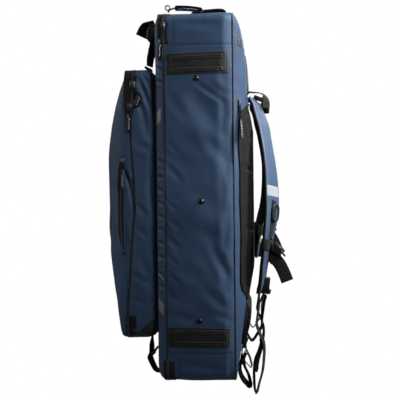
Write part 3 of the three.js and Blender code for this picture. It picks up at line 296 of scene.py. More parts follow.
def round_ring(y, half, low, high, corner, walls=WALL_CELLS, caps=CAP_CELLS):
    """rounded rectangle in XZ at a given y, from its half width, base, top and corner"""
    radius = min(corner, half * 0.9, (high - low) * 0.45)
    corners = [
        (half - radius, low + radius, -1, walls), (half - radius, high - radius, 0, caps),
        (radius - half, high - radius, 1, walls), (radius - half, low + radius, 2, caps),
    ]
    ring = []
    for index, (x, z, start, cells) in enumerate(corners):
        for step in range(ARC_CELLS + 1):
            angle = math.pi / 2 * (start + step / ARC_CELLS)
            ring.append((x + radius * math.cos(angle), z + radius * math.sin(angle)))
        nx, nz, turn, _ = corners[(index + 1) % 4]
        end = (nx + radius * math.cos(math.pi / 2 * turn), nz + radius * math.sin(math.pi / 2 * turn))
        begin = ring[-1]
        for step in range(1, cells):
            share = step / cells
            ring.append((begin[0] * (1 - share) + end[0] * share,
                         begin[1] * (1 - share) + end[1] * share))
    ring = np.array(ring)
    return np.stack([ring[:, 0], np.full(len(ring), float(y)), ring[:, 1]], 1)


def cap_rows(last, count):
    """rows that close a ring towards its middle"""
    middle = last.mean(0)
    rows = []
    for step in range(1, count + 1):
        share = 1 - step / (count + 0.35)
        rows.append(middle + (last - middle) * share)
    return rows


# surfaces that other pieces are laid on, by name, and the largest ring that is closed with one face
TREES = {}
WIDEST_CAP = 400.0


def shell(name, rings, material, node, shape):
    """cloth surface through rings, with folds from shape(points, normals)"""
    P = np.array(rings)
    N = grid_normals(P)
    push, wear_and_highlight = shape(P, N)
    P = P + N * push[..., None]
    faces, _, _ = grid_faces(P.shape[0], P.shape[1], around=True)
    last = (P.shape[0] - 1) * P.shape[1]
    face_list = [list(f) for f in faces]
    if np.linalg.norm(P[-1].max(0) - P[-1].min(0)) < WIDEST_CAP:
        face_list.append(list(range(last, last + P.shape[1])))
    flat = P.reshape(-1, 3)
    first = face_list[len(face_list) // 3]
    a, b, c = flat[first[0]], flat[first[1]], flat[first[2]]
    k = N.reshape(-1, 3)[first[0]]
    if np.dot(np.cross(b - a, c - a), k) < 0:
        face_list = [f[::-1] for f in face_list]
    piece = add_mesh(name, flat, face_list, material, wear_and_highlight=wear_and_highlight, node=node,
                     recalc=False)
    TREES[name] = BVHTree.FromPolygons(flat.tolist(), face_list)
    return piece


# outline of webbing, in shares of its half width and half thickness
WEB = [(-1, -0.1), (-0.985, -0.75), (-0.93, -1), (-0.5, -1), (0, -1), (0.5, -1), (0.93, -1),
       (0.985, -0.75), (1, -0.1), (1, 0.1), (0.985, 0.75), (0.93, 1), (0.5, 1), (0, 1), (-0.5, 1),
       (-0.93, 1), (-0.985, 0.75), (-1, 0.1)]


def frames_of(path, across):
    """ways along a path, across it and out of its face"""
    along = unit(np.gradient(path, axis=0))
    across = np.broadcast_to(np.asarray(across, float), path.shape)
    across = unit(across - np.sum(across * along, 1, keepdims=True) * along)
    return along, across, np.cross(along, across)


def ribbon(name, path, across, width, thick, material, node=(), lift=0.0,
           section=WEB, twist=0.0):
    """flat band along a path, with its own weave coordinates; twist in degrees"""
    path = np.asarray(path, float)
    _, wide, face = frames_of(path, across)
    turn = np.radians(np.broadcast_to(np.asarray(twist, float), (len(path),)))[:, None]
    wide, face = (wide * np.cos(turn) + face * np.sin(turn),
                  face * np.cos(turn) - wide * np.sin(turn))
    half = np.broadcast_to(np.asarray(width, float) / 2, (len(path),))
    thin = np.broadcast_to(np.asarray(thick, float) / 2, (len(path),))
    rise = np.broadcast_to(np.asarray(lift, float), (len(path),))
    S = np.array(section, float)
    P = (path[:, None] + wide[:, None] * (half[:, None] * S[:, 0])[..., None]
         + face[:, None] * (thin[:, None] * S[:, 1] + rise[:, None])[..., None])
    rows, cols = P.shape[:2]
    faces, R, C = grid_faces(rows, cols, around=True)
    run = run_of(path)
    across_at = np.append(S[:, 0], S[0, 0]) * float(half.mean())
    uv = grid_uv(R, C, across_at, run)[..., ::-1]
    ends = np.zeros((2 * cols, 2))
    ends[:cols, 1] = S[:, 0] * half[0] * METRE
    ends[cols:, 0] = run[-1] * METRE
    ends[cols:, 1] = S[:, 0] * half[-1] * METRE
    uv = np.concatenate([uv.reshape(-1, 2), ends])
    return add_mesh(name, P.reshape(-1, 3), with_ends(faces, rows, cols), material, uv=uv, node=node)


def tube(name, points, radius, material, closed=False, sides=12, node=()):
    """round cord or bar along a path"""
    path = np.asarray(points, float)
    if closed:
        along = unit(np.roll(path, -1, 0) - np.roll(path, 1, 0))
    else:
        along = unit(np.gradient(path, axis=0))
    ref = np.array([1.0, 0, 0]) if abs(along[:, 0]).mean() < 0.7 else np.array([0, 0, 1.0])
    side = unit(np.cross(along, ref))
    other = np.cross(along, side)
    ring = np.arange(sides) * 2 * math.pi / sides
    radius = np.broadcast_to(np.asarray(radius, float), (len(path),))
    P = (path[:, None] + side[:, None] * (radius[:, None] * np.cos(ring))[..., None]
         + other[:, None] * (radius[:, None] * np.sin(ring))[..., None])
    faces, _, _ = grid_faces(len(path), sides, around=True, looped=closed)
    if not closed:
        faces = with_ends(faces, len(path), sides)
    return add_mesh(name, P.reshape(-1, 3), faces, material, node=node)


def lathe(name, profile, centre, axis, material, node=(), steps=32):
    """turned piece: profile holds radius and height along the axis"""
    axis = unit(np.asarray(axis, float))
    ref = np.array([0, 0, 1.0]) if abs(axis[2]) < 0.9 else np.array([1.0, 0, 0])
    side = unit(np.cross(axis, ref))
    other = np.cross(axis, side)
    ring = np.arange(steps) * 2 * math.pi / steps
    round_way = side * np.cos(ring)[:, None] + other * np.sin(ring)[:, None]
    P = np.array([centre + axis * h + round_way * r for r, h in profile])
    faces, _, _ = grid_faces(len(profile), steps, around=True)
    return add_mesh(name, P.reshape(-1, 3), with_ends(faces, len(profile), steps), material, node=node)


def bars(name, parts, material, node=(), bevel=0.8, tilt=0.0, pivot=None):
    """moulded piece from rounded bars: centre, size and own lean about X in degrees"""
    bm = bmesh.new()
    whole = Matrix.Identity(4)
    if pivot is not None:
        move = Matrix.Translation(Vector(pivot))
        whole = move @ Matrix.Rotation(math.radians(tilt), 4, "X") @ move.inverted()
    for centre, size, lean in parts:
        one = bmesh.ops.create_cube(bm, size=1.0)
        spot = (whole @ Matrix.Translation(Vector(centre))
                @ Matrix.Rotation(math.radians(lean), 4, "X")
                @ Matrix.Diagonal((*size, 1.0)))
        bmesh.ops.transform(bm, matrix=spot, verts=one["verts"])
        edges = list({e for v in one["verts"] for e in v.link_edges})
        edge = min(bevel, min(size) * 0.42)
        bmesh.ops.bevel(bm, geom=edges, offset=edge, segments=3, affect="EDGES", profile=0.6)
    points = np.array([v.co[:] for v in bm.verts])
    bm.verts.index_update()
    faces = [[v.index for v in f.verts] for f in bm.faces]
    bm.free()
    return add_mesh(name, points, faces, material, node=node)


def drape(tree, points, towards):
    """points moved along a direction onto a cloth surface"""
    towards = np.asarray(towards, float)
    out = []
    for p in np.asarray(points, float).reshape(-1, 3):
        hit = TREES[tree].ray_cast(Vector(p - towards * 90), Vector(towards), 400)
        spot = hit[0] if hit[0] is not None else TREES[tree].find_nearest(Vector(p))[0]
        out.append(spot[:])
    return np.array(out).reshape(np.asarray(points).shape)


def skin(name, tree, corners, towards, lift, material, step=1.2, node=()):
    """patch that lies on a surface: four corners, and a height above the surface by place"""
    c = np.array(corners, float)
    nu = max(4, int(np.linalg.norm(c[1] - c[0]) / step))
    nv = max(4, int(np.linalg.norm(c[3] - c[0]) / step))
    u, v = np.meshgrid(np.linspace(0, 1, nu), np.linspace(0, 1, nv), indexing="ij")
    w = [(1 - u) * (1 - v), u * (1 - v), u * v, (1 - u) * v]
    P = sum(w[k][..., None] * c[k] for k in range(4))
    P = drape(tree, P, towards)
    long, tall = np.linalg.norm(c[1] - c[0]), np.linalg.norm(c[3] - c[0])
    edge = np.minimum(np.minimum(u, 1 - u) * long, np.minimum(v, 1 - v) * tall)
    height = lift(u * long, v * tall, long, tall) * np.clip(edge / 0.9, 0, 1) ** 0.5
    height = np.where(edge < 1e-6, -0.5, height)
    P = P - np.asarray(towards, float) * height[..., None]
    faces, _, _ = grid_faces(nu, nv)
    uu, vv = u * long, v * tall
    ids = faces.reshape(-1)
    uv = np.stack([uu.reshape(-1)[ids], vv.reshape(-1)[ids]], 1) * METRE
    piece = add_mesh(name, P.reshape(-1, 3), faces, material, uv=uv, node=node,
                     recalc=False)
    mesh = piece.data
    if np.dot(np.array(mesh.polygons[len(mesh.polygons) // 2].normal), towards) > 0:
        mesh.flip_normals()
    return piece


STITCHES = {"navy": [], "black": []}
# points round a stitch, and along it: share of its length and of its size
STITCH_SIDES = 5
STITCH_STATIONS = ((0.0, 0.35), (0.25, 1.0), (0.75, 1.0), (1.0, 0.35))


def stitch(path, out, kind="navy", pitch=3.4, length=2.3, size=0.42):
    """row of sewn stitches along a path, standing on a surface whose outward way is out"""
    path = np.asarray(path, float)
    run = run_of(path)
    out = unit(np.asarray(out, float))
    for start in np.arange(0.8, run[-1] - length, pitch):
        a = np.array([np.interp(start, run, path[:, k]) for k in range(3)])
        b = np.array([np.interp(start + length, run, path[:, k]) for k in range(3)])
        STITCHES[kind].append((a, b, out, size))


def make_stitches(name, rows, material):
    """all stitches of one thread as one piece of short rods"""
    count = len(STITCH_STATIONS)
    rod = with_ends(grid_faces(count, STITCH_SIDES, around=True)[0], count, STITCH_SIDES)
    points, faces = [], []
    for a, b, out, size in rows:
        along = unit(b - a)
        side = unit(np.cross(along, out))
        base = len(points)
        for share, grow in STITCH_STATIONS:
            middle = a + (b - a) * share + out * (size * 0.35 if 0 < share < 1 else -size * 0.5)
            for turn in range(STITCH_SIDES):
                angle = 2 * math.pi * turn / STITCH_SIDES
                points.append(middle + side * math.cos(angle) * size * grow
                              + out * math.sin(angle) * size * grow)
        faces += [[base + k for k in face] for face in rod]
    return add_mesh(name, np.array(points), faces, material)


# Materials

def new_material(name, base, rough, metal=0.0, specular=0.5, sheen=0.0):
    """material with the plain values of its shader"""
    mat = bpy.data.materials.new(name)
    mat.use_nodes = True
    bsdf = mat.node_tree.nodes["Principled BSDF"]
    bsdf.inputs["Base Color"].default_value = (*base, 1)
    bsdf.inputs["Roughness"].default_value = rough
    bsdf.inputs["Metallic"].default_value = metal
    bsdf.inputs["Specular IOR Level"].default_value = specular
    if sheen:
        bsdf.inputs["Sheen Weight"].default_value = sheen
        bsdf.inputs["Sheen Roughness"].default_value = 0.4
    return mat, mat.node_tree, bsdf


def node_of(tree, kind, **values):
    """node with values for its inputs or its settings"""
    node = tree.nodes.new(kind)
    for key, value in values.items():
        if key in node.inputs:
            node.inputs[key].default_value = value
        else:
            setattr(node, key, value)
    return node


def coords(tree, source="Object"):
    """texture coordinates of the piece, or its UV map"""
    return tree.nodes.new("ShaderNodeTexCoord").outputs[source]


def noise(tree, vector, scale, detail=2.0, rough=0.5):
    """soft noise from 0 to 1"""
    node = node_of(tree, "ShaderNodeTexNoise", Scale=scale, Detail=detail, Roughness=rough)
    tree.links.new(vector, node.inputs["Vector"])
    return node.outputs["Fac"]


def wave(tree, vector, scale, direction):
    """even bands along one direction"""
    node = node_of(tree, "ShaderNodeTexWave", Scale=scale)
    node.bands_direction = direction
    tree.links.new(vector, node.inputs["Vector"])
    return node.outputs["Fac"]


def cells(tree, vector, scale):
    """distance to the nearest point of a cell texture"""
    node = node_of(tree, "ShaderNodeTexVoronoi", Scale=scale)
    tree.links.new(vector, node.inputs["Vector"])
    return node.outputs["Distance"]


def maths(tree, kind, a, b=None):
    """one operation on numbers or outputs"""
    node = tree.nodes.new("ShaderNodeMath")
    node.operation = kind
    for index, value in enumerate((a, b)):
        if value is None:
            continue
        if isinstance(value, (int, float)):
            node.inputs[index].default_value = value
        else:
            tree.links.new(value, node.inputs[index])
    return node.outputs[0]


def spread(tree, value, low, high, to_low, to_high):
    """value mapped from one range to another and held inside it"""
    node = tree.nodes.new("ShaderNodeMapRange")
    tree.links.new(value, node.inputs["Value"])
    for key, number in (("From Min", low), ("From Max", high), ("To Min", to_low), ("To Max", to_high)):
        node.inputs[key].default_value = number
    return node.outputs["Result"]


def blend_colors(tree, factor, a, b):
    """two colours mixed by a factor"""
    node = tree.nodes.new("ShaderNodeMix")
    node.data_type = "RGBA"
    if isinstance(factor, (int, float)):
        node.inputs["Factor"].default_value = factor
    else:
        tree.links.new(factor, node.inputs["Factor"])
    for key, value in ((6, a), (7, b)):
        if isinstance(value, tuple):
            node.inputs[key].default_value = (*value, 1)
        else:
            tree.links.new(value, node.inputs[key])
    return node.outputs[2]


def bump(tree, height, strength, distance, before=None):
    """relief from a height, over an earlier relief"""
    node = node_of(tree, "ShaderNodeBump", Strength=strength, Distance=distance)
    tree.links.new(height, node.inputs["Height"])
    if before is not None:
        tree.links.new(before, node.inputs["Normal"])
    return node.outputs["Normal"]


def feed(tree, bsdf, colour, rough, normal):
    """links a material's colour, roughness and relief to its shader"""
    for key, value in (("Base Color", colour), ("Roughness", rough), ("Normal", normal)):
        tree.links.new(value, bsdf.inputs[key])


# a wave texture of scale one repeats this often in a metre's share
WAVE_STEP = 0.314


def coated_cloth(name, dark, light, worn_and_lit, rough=(0.56, 0.7), specular=0.2):
    """cloth with a matt rubbery coat: broad tone changes, fine grain, rubbed edges, and the painted highlight
    band on the lid's rim
    """
    mat, tree, bsdf = new_material(name, light, 0.55, specular=specular)
    here = coords(tree)
    broad = noise(tree, here, 7.0, 3.0)
    fine = noise(tree, here, 650.0, 3.0, 0.6)
    colour = blend_colors(tree, spread(tree, broad, 0.3, 0.7, 0.0, 1.0), dark, light)
    speck = spread(tree, fine, 0.35, 0.75, 0.0, 0.22)
    colour = blend_colors(tree, speck, colour, worn_and_lit)
    # this mask holds real edge wear, and on the lid's rim also a painted highlight band; both are mixed
    # towards the pale tone
    rubbed_and_lit = node_of(tree, "ShaderNodeAttribute", attribute_name="wear_and_highlight")
    edge = maths(tree, "MULTIPLY", rubbed_and_lit.outputs["Fac"],
                 spread(tree, noise(tree, here, 160.0, 3.0), 0.35, 0.7, 0.1, 0.9))
    colour = blend_colors(tree, edge, colour, worn_and_lit)
    gloss = spread(tree, noise(tree, here, 38.0, 4.0), 0.3, 0.7, *rough)
    first = bump(tree, cells(tree, here, 900.0), 0.22, 0.00035)
    second = bump(tree, fine, 0.16, 0.0005, first)
    third = bump(tree, noise(tree, here, 60.0, 3.0), 0.1, 0.002, second)
    feed(tree, bsdf, colour, gloss, third)
    return mat


def woven(name, base, light, pitch=0.0014, rough=0.72):
    """webbing or tape: cross ribs with rows of yarn and a little fuzz"""
    mat, tree, bsdf = new_material(name, base, rough, specular=0.2, sheen=0.04)
    here = coords(tree, "UV")
    ribs = wave(tree, here, WAVE_STEP / pitch, "X")
    rows = wave(tree, here, WAVE_STEP / (pitch * 0.8), "Y")
    weave = maths(tree, "MULTIPLY", ribs, rows)
    weave = maths(tree, "ADD", weave, maths(tree, "MULTIPLY", ribs, 0.6))
    fuzz = noise(tree, coords(tree), 900.0, 2.0)
    colour = blend_colors(tree, spread(tree, weave, 0.1, 1.3, 0.0, 1.0), base, light)
    colour = blend_colors(tree, spread(tree, fuzz, 0.45, 0.8, 0.0, 0.4), colour, light)
    relief = bump(tree, fuzz, 0.2, 0.0003, bump(tree, weave, 0.7, 0.0004))
    feed(tree, bsdf, colour, spread(tree, weave, 0.0, 1.4, rough + 0.12, rough - 0.08), relief)
    return mat


def spacer(name, base, light, source="Object", turn=(math.radians(90), 0, 0), hole=0.0034):
    """open three-layer mesh: slanted rows of holes between shiny threads"""
    mat, tree, bsdf = new_material(name, base, 0.85, specular=0.13, sheen=0.02)
    here = coords(tree, source)
    flat = tree.nodes.new("ShaderNodeVectorRotate")
    flat.rotation_type = "EULER_XYZ"
    flat.inputs["Rotation"].default_value = turn
    tree.links.new(here, flat.inputs["Vector"])
    split = tree.nodes.new("ShaderNodeSeparateXYZ")
    tree.links.new(flat.outputs[0], split.inputs[0])
    slanted = maths(tree, "MULTIPLY", split.outputs[1], 0.62)
    rows = [maths(tree, kind, split.outputs[0], slanted) for kind in ("ADD", "SUBTRACT")]
    waves = [maths(tree, "SINE", maths(tree, "MULTIPLY", row, 2 * math.pi / hole)) for row in rows]
    holes = maths(tree, "MULTIPLY", *waves)
    thread = spread(tree, holes, -0.2, 0.75, 1.0, 0.0)
    fuzz = noise(tree, coords(tree), 1400.0, 2.0)
    colour = blend_colors(tree, thread, base, light)
    colour = blend_colors(tree, spread(tree, fuzz, 0.4, 0.8, 0, 0.3), colour, base)
    relief = bump(tree, fuzz, 0.25, 0.0003, bump(tree, thread, 0.85, 0.0011))
    feed(tree, bsdf, colour, spread(tree, thread, 0, 1, 0.95, 0.62), relief)
    return mat


def moulded(name, base, light, rough=0.38, metal=0.0, grain=0.12, specular=0.5):
    """plastic, rubber or metal with a fine grain and uneven gloss"""
    mat, tree, bsdf = new_material(name, base, rough, metal=metal, specular=specular)
    here = coords(tree)
    fine = noise(tree, here, 1100.0, 3.0, 0.6)
    broad = noise(tree, here, 90.0, 3.0)
    colour = blend_colors(tree, spread(tree, broad, 0.4, 0.75, 0.0, 0.6), base, light)
    feed(tree, bsdf, colour, spread(tree, broad, 0.3, 0.7, rough - 0.06, rough + 0.1),
         bump(tree, fine, grain, 0.0004))
    return mat


def coil(name, base, light, pitch=0.0022):
    """zip teeth across a band"""
    mat, tree, bsdf = new_material(name, base, 0.5, specular=0.4)
    here = coords(tree, "UV")
    teeth = wave(tree, here, WAVE_STEP / pitch, "X")
    feed(tree, bsdf, blend_colors(tree, teeth, base, light), spread(tree, teeth, 0, 1, 0.7, 0.38),
         bump(tree, teeth, 0.8, 0.0008))
    return mat


NAVY = coated_cloth("navy_coated", (0.0135, 0.0305, 0.066), (0.018, 0.039, 0.081), (0.045, 0.082, 0.145))
# the strap cover is the bag's navy cloth in a lighter copy: painted light for the brighter light on the
# straps
NAVY_PAINTED_LIGHTER = coated_cloth("strap_navy_painted_lighter", (0.0185, 0.038, 0.078), (0.025, 0.05, 0.1), (0.07, 0.11, 0.18),
                    (0.5, 0.62), 0.4)
WEBBING = woven("webbing_black", (0.0022, 0.0022, 0.0025), (0.009, 0.009, 0.01))
TAPE = woven("zip_tape_black", (0.0016, 0.0016, 0.0018), (0.005, 0.005, 0.0055), pitch=0.0008, rough=0.78)
BINDING = woven("binding_black", (0.002, 0.002, 0.0024), (0.008, 0.008, 0.009), pitch=0.001)
MESH_PAD = spacer("spacer_mesh_black", (0.0006, 0.0006, 0.0007), (0.008, 0.008, 0.0088), hole=0.0046)
MESH_STRAP = spacer("strap_mesh_black", (0.0015, 0.0015, 0.0018), (0.012, 0.012, 0.0135), source="UV",
                    turn=(0, 0, 0), hole=0.0028)
RUBBER = moulded("patch_rubber", (0.0055, 0.0055, 0.006), (0.012, 0.012, 0.013), rough=0.52, grain=0.35,
                 specular=0.3)
PLASTIC = moulded("plastic_black", (0.0035, 0.0035, 0.004), (0.008, 0.008, 0.009), rough=0.36, specular=0.4)
SNAP = moulded("snap_black", (0.003, 0.003, 0.0034), (0.008, 0.008, 0.009), rough=0.24, metal=0.35,
               grain=0.04)
STEEL = moulded("steel_bright", (0.55, 0.56, 0.58), (0.7, 0.71, 0.73), rough=0.25, metal=1.0, grain=0.05)
GUNMETAL = moulded("slider_dark", (0.05, 0.05, 0.054), (0.14, 0.14, 0.15), rough=0.26, metal=0.8, grain=0.05)
REFLECT = moulded("reflector_grey", (0.1, 0.1, 0.103), (0.16, 0.16, 0.165), rough=0.42, metal=0.15, grain=0.3)
REFLECT_PALE = moulded("reflector_pale", (0.26, 0.28, 0.29), (0.33, 0.355, 0.365), rough=0.4, metal=0.1,
                       grain=0.3)
COIL = coil("zip_coil", (0.0012, 0.0012, 0.0014), (0.0056, 0.0056, 0.0060))
THREAD = moulded("thread_navy", (0.003, 0.006, 0.012), (0.008, 0.014, 0.026), rough=0.7, grain=0.3)
THREAD_BLACK = moulded("thread_black", (0.006, 0.006, 0.007), (0.018, 0.018, 0.02), rough=0.65, grain=0.3)
PRINT_BLUE = moulded("pull_blue", (0.012, 0.075, 0.3), (0.018, 0.1, 0.38), rough=0.45)
PRINT_PALE = moulded("pull_pale", (0.4, 0.42, 0.44), (0.5, 0.51, 0.53), rough=0.5)

# Camera and light

FOCUS = Vector((0, -0.02206, -0.3984))
EYE = Vector((1.8824, 0.1096, -0.3984))
ROLL = math.radians(-0.6)
FOCAL_LENGTH, SENSOR_WIDTH = 80, 36
lens = bpy.data.cameras.new("camera")
lens.lens = FOCAL_LENGTH
lens.sensor_width = SENSOR_WIDTH
camera = bpy.data.objects.new("camera", lens)
bpy.context.collection.objects.link(camera)
camera.location = EYE
camera.rotation_mode = "QUATERNION"
camera.rotation_quaternion = (FOCUS - EYE).to_track_quat("-Z", "Y") @ Quaternion((0, 0, 1), ROLL)
bpy.context.scene.camera = camera
bpy.context.scene.view_settings.view_transform = "Standard"


BAG_MIDDLE = (0, 0, -0.38)
# lights: name, place, width and height, power, aim, spread in degrees
LIGHTS = [
    ("rear_top", (0.27, 1.9, 0.95), (0.6, 1.0), 11.5, (0, 0.05, -0.1), 42),
    ("side_rear", (1.5, 1.5, 0.5), (0.8, 0.8), 3.0, (0.12, 0.1, -0.08), 40),
    ("side_top", (1.6, 0.4, 1.3), (0.8, 0.8), 0.45, (0.12, 0.08, -0.12), 36),
    ("front_graze", (0.25, -2.2, 0.5), (1.2, 1.2), 2.6, (0.0, -0.15, -0.2), 50),
    ("front_high", (-0.7, -2.2, 0.9), (1.4, 1.4), 12, BAG_MIDDLE, 180),
    ("left_soft", (-2.2, 0.4, 0.9), (1.8, 1.8), 38, BAG_MIDDLE, 180),
    ("overhead", (0.3, 0.2, 1.9), (1.8, 1.8), 6, (0.3, 0.2, -1.0), 140),
]


def area_light(name, place, size, power, aim, spread):
    """rectangular light at a place, turned to its aim"""
    data = bpy.data.lights.new(name, "AREA")
    data.spread = math.radians(spread)
    data.shape = "RECTANGLE"
    data.size, data.size_y = size
    data.energy = power
    light = bpy.data.objects.new(name, data)
    bpy.context.collection.objects.link(light)
    light.location = place
    light.rotation_mode = "QUATERNION"
    light.rotation_quaternion = (Vector(aim) - Vector(place)).to_track_quat("-Z", "Y")


for light in LIGHTS:
    area_light(*light)
# the world lights the bag a little, and the camera sees it as white
WORLD_GLOW, WORLD_SEEN = 0.05, 1.0
world = bpy.data.worlds.new("studio")
bpy.context.scene.world = world
world.use_nodes = True
sky = world.node_tree
glow = sky.nodes["Background"]
glow.inputs["Color"].default_value = (1, 1, 1, 1)
glow.inputs["Strength"].default_value = WORLD_GLOW
seen = sky.nodes.new("ShaderNodeBackground")
seen.inputs["Color"].default_value = (1, 1, 1, 1)
seen.inputs["Strength"].default_value = WORLD_SEEN
ray = sky.nodes.new("ShaderNodeLightPath")
join = sky.nodes.new("ShaderNodeMixShader")
sky.links.new(ray.outputs["Is Camera Ray"], join.inputs[0])
sky.links.new(glow.outputs[0], join.inputs[1])
sky.links.new(seen.outputs[0], join.inputs[2])
sky.links.new(join.outputs[0], sky.nodes["World Output"].inputs["Surface"])

# floor: height under the origin, radius, and its own light, which only the camera sees
FLOOR_DROP = 1150.0
FLOOR_RADIUS = 1.4
FLOOR_GLOW = 0.95
floor_material, floor_tree, floor_shader = new_material("floor_pale", (0.3, 0.3, 0.3), 0.8)
floor_shader.inputs["Emission Color"].default_value = (1, 1, 1, 1)
to_camera = floor_tree.nodes.new("ShaderNodeLightPath").outputs["Is Camera Ray"]
floor_tree.links.new(maths(floor_tree, "MULTIPLY", to_camera, FLOOR_GLOW),
                     floor_shader.inputs["Emission Strength"])
bpy.ops.mesh.primitive_circle_add(vertices=96, radius=FLOOR_RADIUS, fill_type="NGON",
                                  location=(0, 0, -FLOOR_DROP * METRE))
floor = bpy.context.object
floor.name = "floor"
floor.data.materials.append(floor_material)

# Main bag

# lean of the front rim: share of BODY_HEIGHT, shift
ZIP_DRIFT = [(0.0, 1.0), (0.1, 0.2), (0.25, -0.6), (0.45, 0.6), (0.56, -1.0), (0.68, -2.4),
             (0.8, -5.0), (0.9, -8.0), (1.0, -9.5)]


def drift(P):
    """the soft front rim leans with the weight: a shift of the zip and of what is near it"""
    P = np.array(P, float)
    shift = np.interp(P[..., 2] / BODY_HEIGHT, *zip(*ZIP_DRIFT)) * 0.55
    near = np.clip(1 - np.abs(P[..., 1] - ZIP_PLANE) / 26, 0, 1)
    P[..., 1] += shift * near * near * (3 - 2 * near) * 0.6
    return P


# folds on a side panel: y and z of both ends, width, depth
SIDE_FOLDS = [
    (-4, 584, 50, 544, 5, 1.3), (24, 574, 50, 560, 8, 1.3), (54, 540, 50, 512, 8, 1.8),
    (52, 456, 49, 372, 9, 2.0), (-62, 349, -46, 338, 4, 1.2), (-62, 318, -40, 300, 5, 1.4),
    (-62, 282, -44, 262, 5, 1.5), (-62, 244, -48, 232, 4, 1.1), (-62, 209, -42, 190, 5, 1.3),
    (-62, 172, -46, 160, 5, 1.0), (-60, 420, -38, 396, 6, 1.1), (-60, 468, -44, 452, 5, 0.9),
    (-58, 560, -30, 520, 8, 1.0), (26, 262, 56, 200, 8, 2.0), (48, 640, 58, 600, 5, 0.7),
    (0, 300, 40, 270, 12, 1.1), (-30, 480, 10, 450, 13, 1.1), (54, 330, 50, 262, 7, 1.8),
    (10, 180, 52, 140, 9, 1.4), (-40, 704, 30, 696, 8, 0.9), (-40, 34, 30, 24, 8, 0.9),
    (-20, 380, 30, 340, 14, 1.0), (10, 480, 52, 430, 10, 1.4), (-50, 130, -10, 118, 8, 1.0),
    (30, 132, 60, 118, 7, 1.1), (-10, 560, 30, 500, 13, 0.9), (-30, 220, 10, 196, 11, 0.9),
]
# seams on a side panel: y and z of both ends
SIDE_SEAMS = [((-60, 657), (66, 657)), ((-66, 53.5), (66, 53.5)), ((-50, 661), (-50, 722)),
              ((-47, 3), (-47, 48))]
ROLL_WIDTH, ROLL_DEPTH = 19.0, 3.0
CROWN_TOP, CROWN_RISE = 24.0, 6.6
# dents: share of PANEL_DEPTH from the zip, of BODY_HEIGHT up, radius and depth as shares of those
SIDE_DENTS = [
    (0.62, 0.74, 0.085, 0.03), (0.9, 0.64, 0.1, 0.028), (0.1, 0.4, 0.085, 0.024),
    (0.06, 0.24, 0.05, 0.02), (0.7, 0.36, 0.09, 0.02), (0.25, 0.6, 0.09, 0.02),
]


def body_shape(P, N):
    """folds, dents, seams and the soft rear roll of the bag, and where its coat is rubbed"""
    x, y, z = P[..., 0], P[..., 1], P[..., 2]
    side = np.clip((np.abs(N[..., 0]) - 0.5) / 0.4, 0, 1)
    push = np.zeros_like(x)
    for along, up, radius, depth in SIDE_DENTS:
        away = np.hypot(y - (ZIP_PLANE + along * PANEL_DEPTH), z - up * BODY_HEIGHT) / (radius * BODY_HEIGHT)
        push -= np.where(away < 1, depth * PANEL_DEPTH * (np.cos(np.pi * away) + 1) / 2, 0) * side
    near_side = creases(y, z, SIDE_FOLDS) * side
    push += np.where(x > 0, near_side, near_side * (0.7 + 0.4 * lumps(P, 90, 5)))
    press_seams(push, y, z, SIDE_SEAMS, 0.9, 2.0, side)
    from_zip = np.abs(y - ZIP_PLANE)
    to_pipe = np.abs(y - PIPING_PLANE)
    slack = 1 - np.exp(-np.minimum(from_zip, to_pipe) / 12)
    push += slack * (1.3 * lumps(P, 70, 11) + 0.5 * lumps(P, 26, 12))
    push += 0.6 * np.exp(-from_zip / 11) * lumps(P * [1, 0.4, 1], 13, 13) * (from_zip > 2.5)
    push += 0.45 * np.exp(-to_pipe / 9) * lumps(P * [1, 0.4, 1], 10, 14) * (to_pipe > 1.5)
    crown = 1 - (np.clip(CROWN_TOP - y, 0, None) / (CROWN_TOP - ZIP_PLANE)) ** 2
    ahead = y <= PIPING_PLANE + 0.01
    push += CROWN_RISE * crown * side * ahead
    low = np.clip((190 - z) / 190, 0, 1) ** 2 * 5.0 + np.clip((55 - z) / 55, 0, 1) * 2.6
    push -= low * side * crown * ahead * np.clip((PIPING_PLANE - y) / 12, 0, 1)
    reach = ROLL_WIDTH + 2.6 * lumps(np.stack([x * 0, x * 0, z], -1), 34, 15)
    roll = np.clip((y - PIPING_PLANE + reach) / reach, 0, 1) * ahead
    push -= (ROLL_DEPTH + CROWN_RISE) * roll**1.4 * side
    past = np.clip(1 - (y - PIPING_PLANE) / 9, 0, 1) * (y > PIPING_PLANE + 0.01)
    push -= ROLL_DEPTH * past**2 * side
    scallop = np.exp(-((y - 49) / 8.5) ** 2) * np.clip((640 - z) / 40, 0, 1) * np.clip((z - 115) / 30, 0, 1)
    push -= scallop * side * (1.5 + 2.0 * lumps(np.stack([x * 0, y * 0.6, z], -1), 40, 16))
    wear_and_highlight = np.exp(-np.minimum(from_zip, to_pipe) / 4) * 0.35
    corner = (np.abs(np.abs(x) - SIDE_FACE) < 16) & ((z > BODY_HEIGHT - 16) | (z < 16))
    wear_and_highlight = wear_and_highlight + 0.35 * corner
    return push, wear_and_highlight


body_rings = []
start = ZIP_PLANE + HALF_ZIP + GAP
for y in np.concatenate([[start], np.linspace(start + 2, PIPING_PLANE, 44)]):
    body_rings.append(drift(round_ring(y, SIDE_FACE, 0, BODY_HEIGHT, BODY_CORNER)))
for out, side, top, base, corner in spline(BACK_ROWS, np.linspace(0, len(BACK_ROWS) - 1, 27)[1:]):
    body_rings.append(round_ring(PIPING_PLANE + out * BACK_BULGE, SIDE_FACE - side * BODY_WIDTH,
                                 base * BODY_HEIGHT, BODY_HEIGHT * (1 - top), BODY_CORNER * corner))
body_rings += cap_rows(body_rings[-1], 9)
shell("bag_shell", body_rings, NAVY, "body_shell", body_shape)

# folds of the lid's rim: pleats between the zip and the pocket, by the height of their front end
PLEAT_HEIGHTS = (398, 372, 346, 320, 294, 268, 240, 206, 182, 428, 585, 610)
LID_FOLDS = [(-71, z, -87, z + 7, 3.6, 2.3) for z in PLEAT_HEIGHTS]


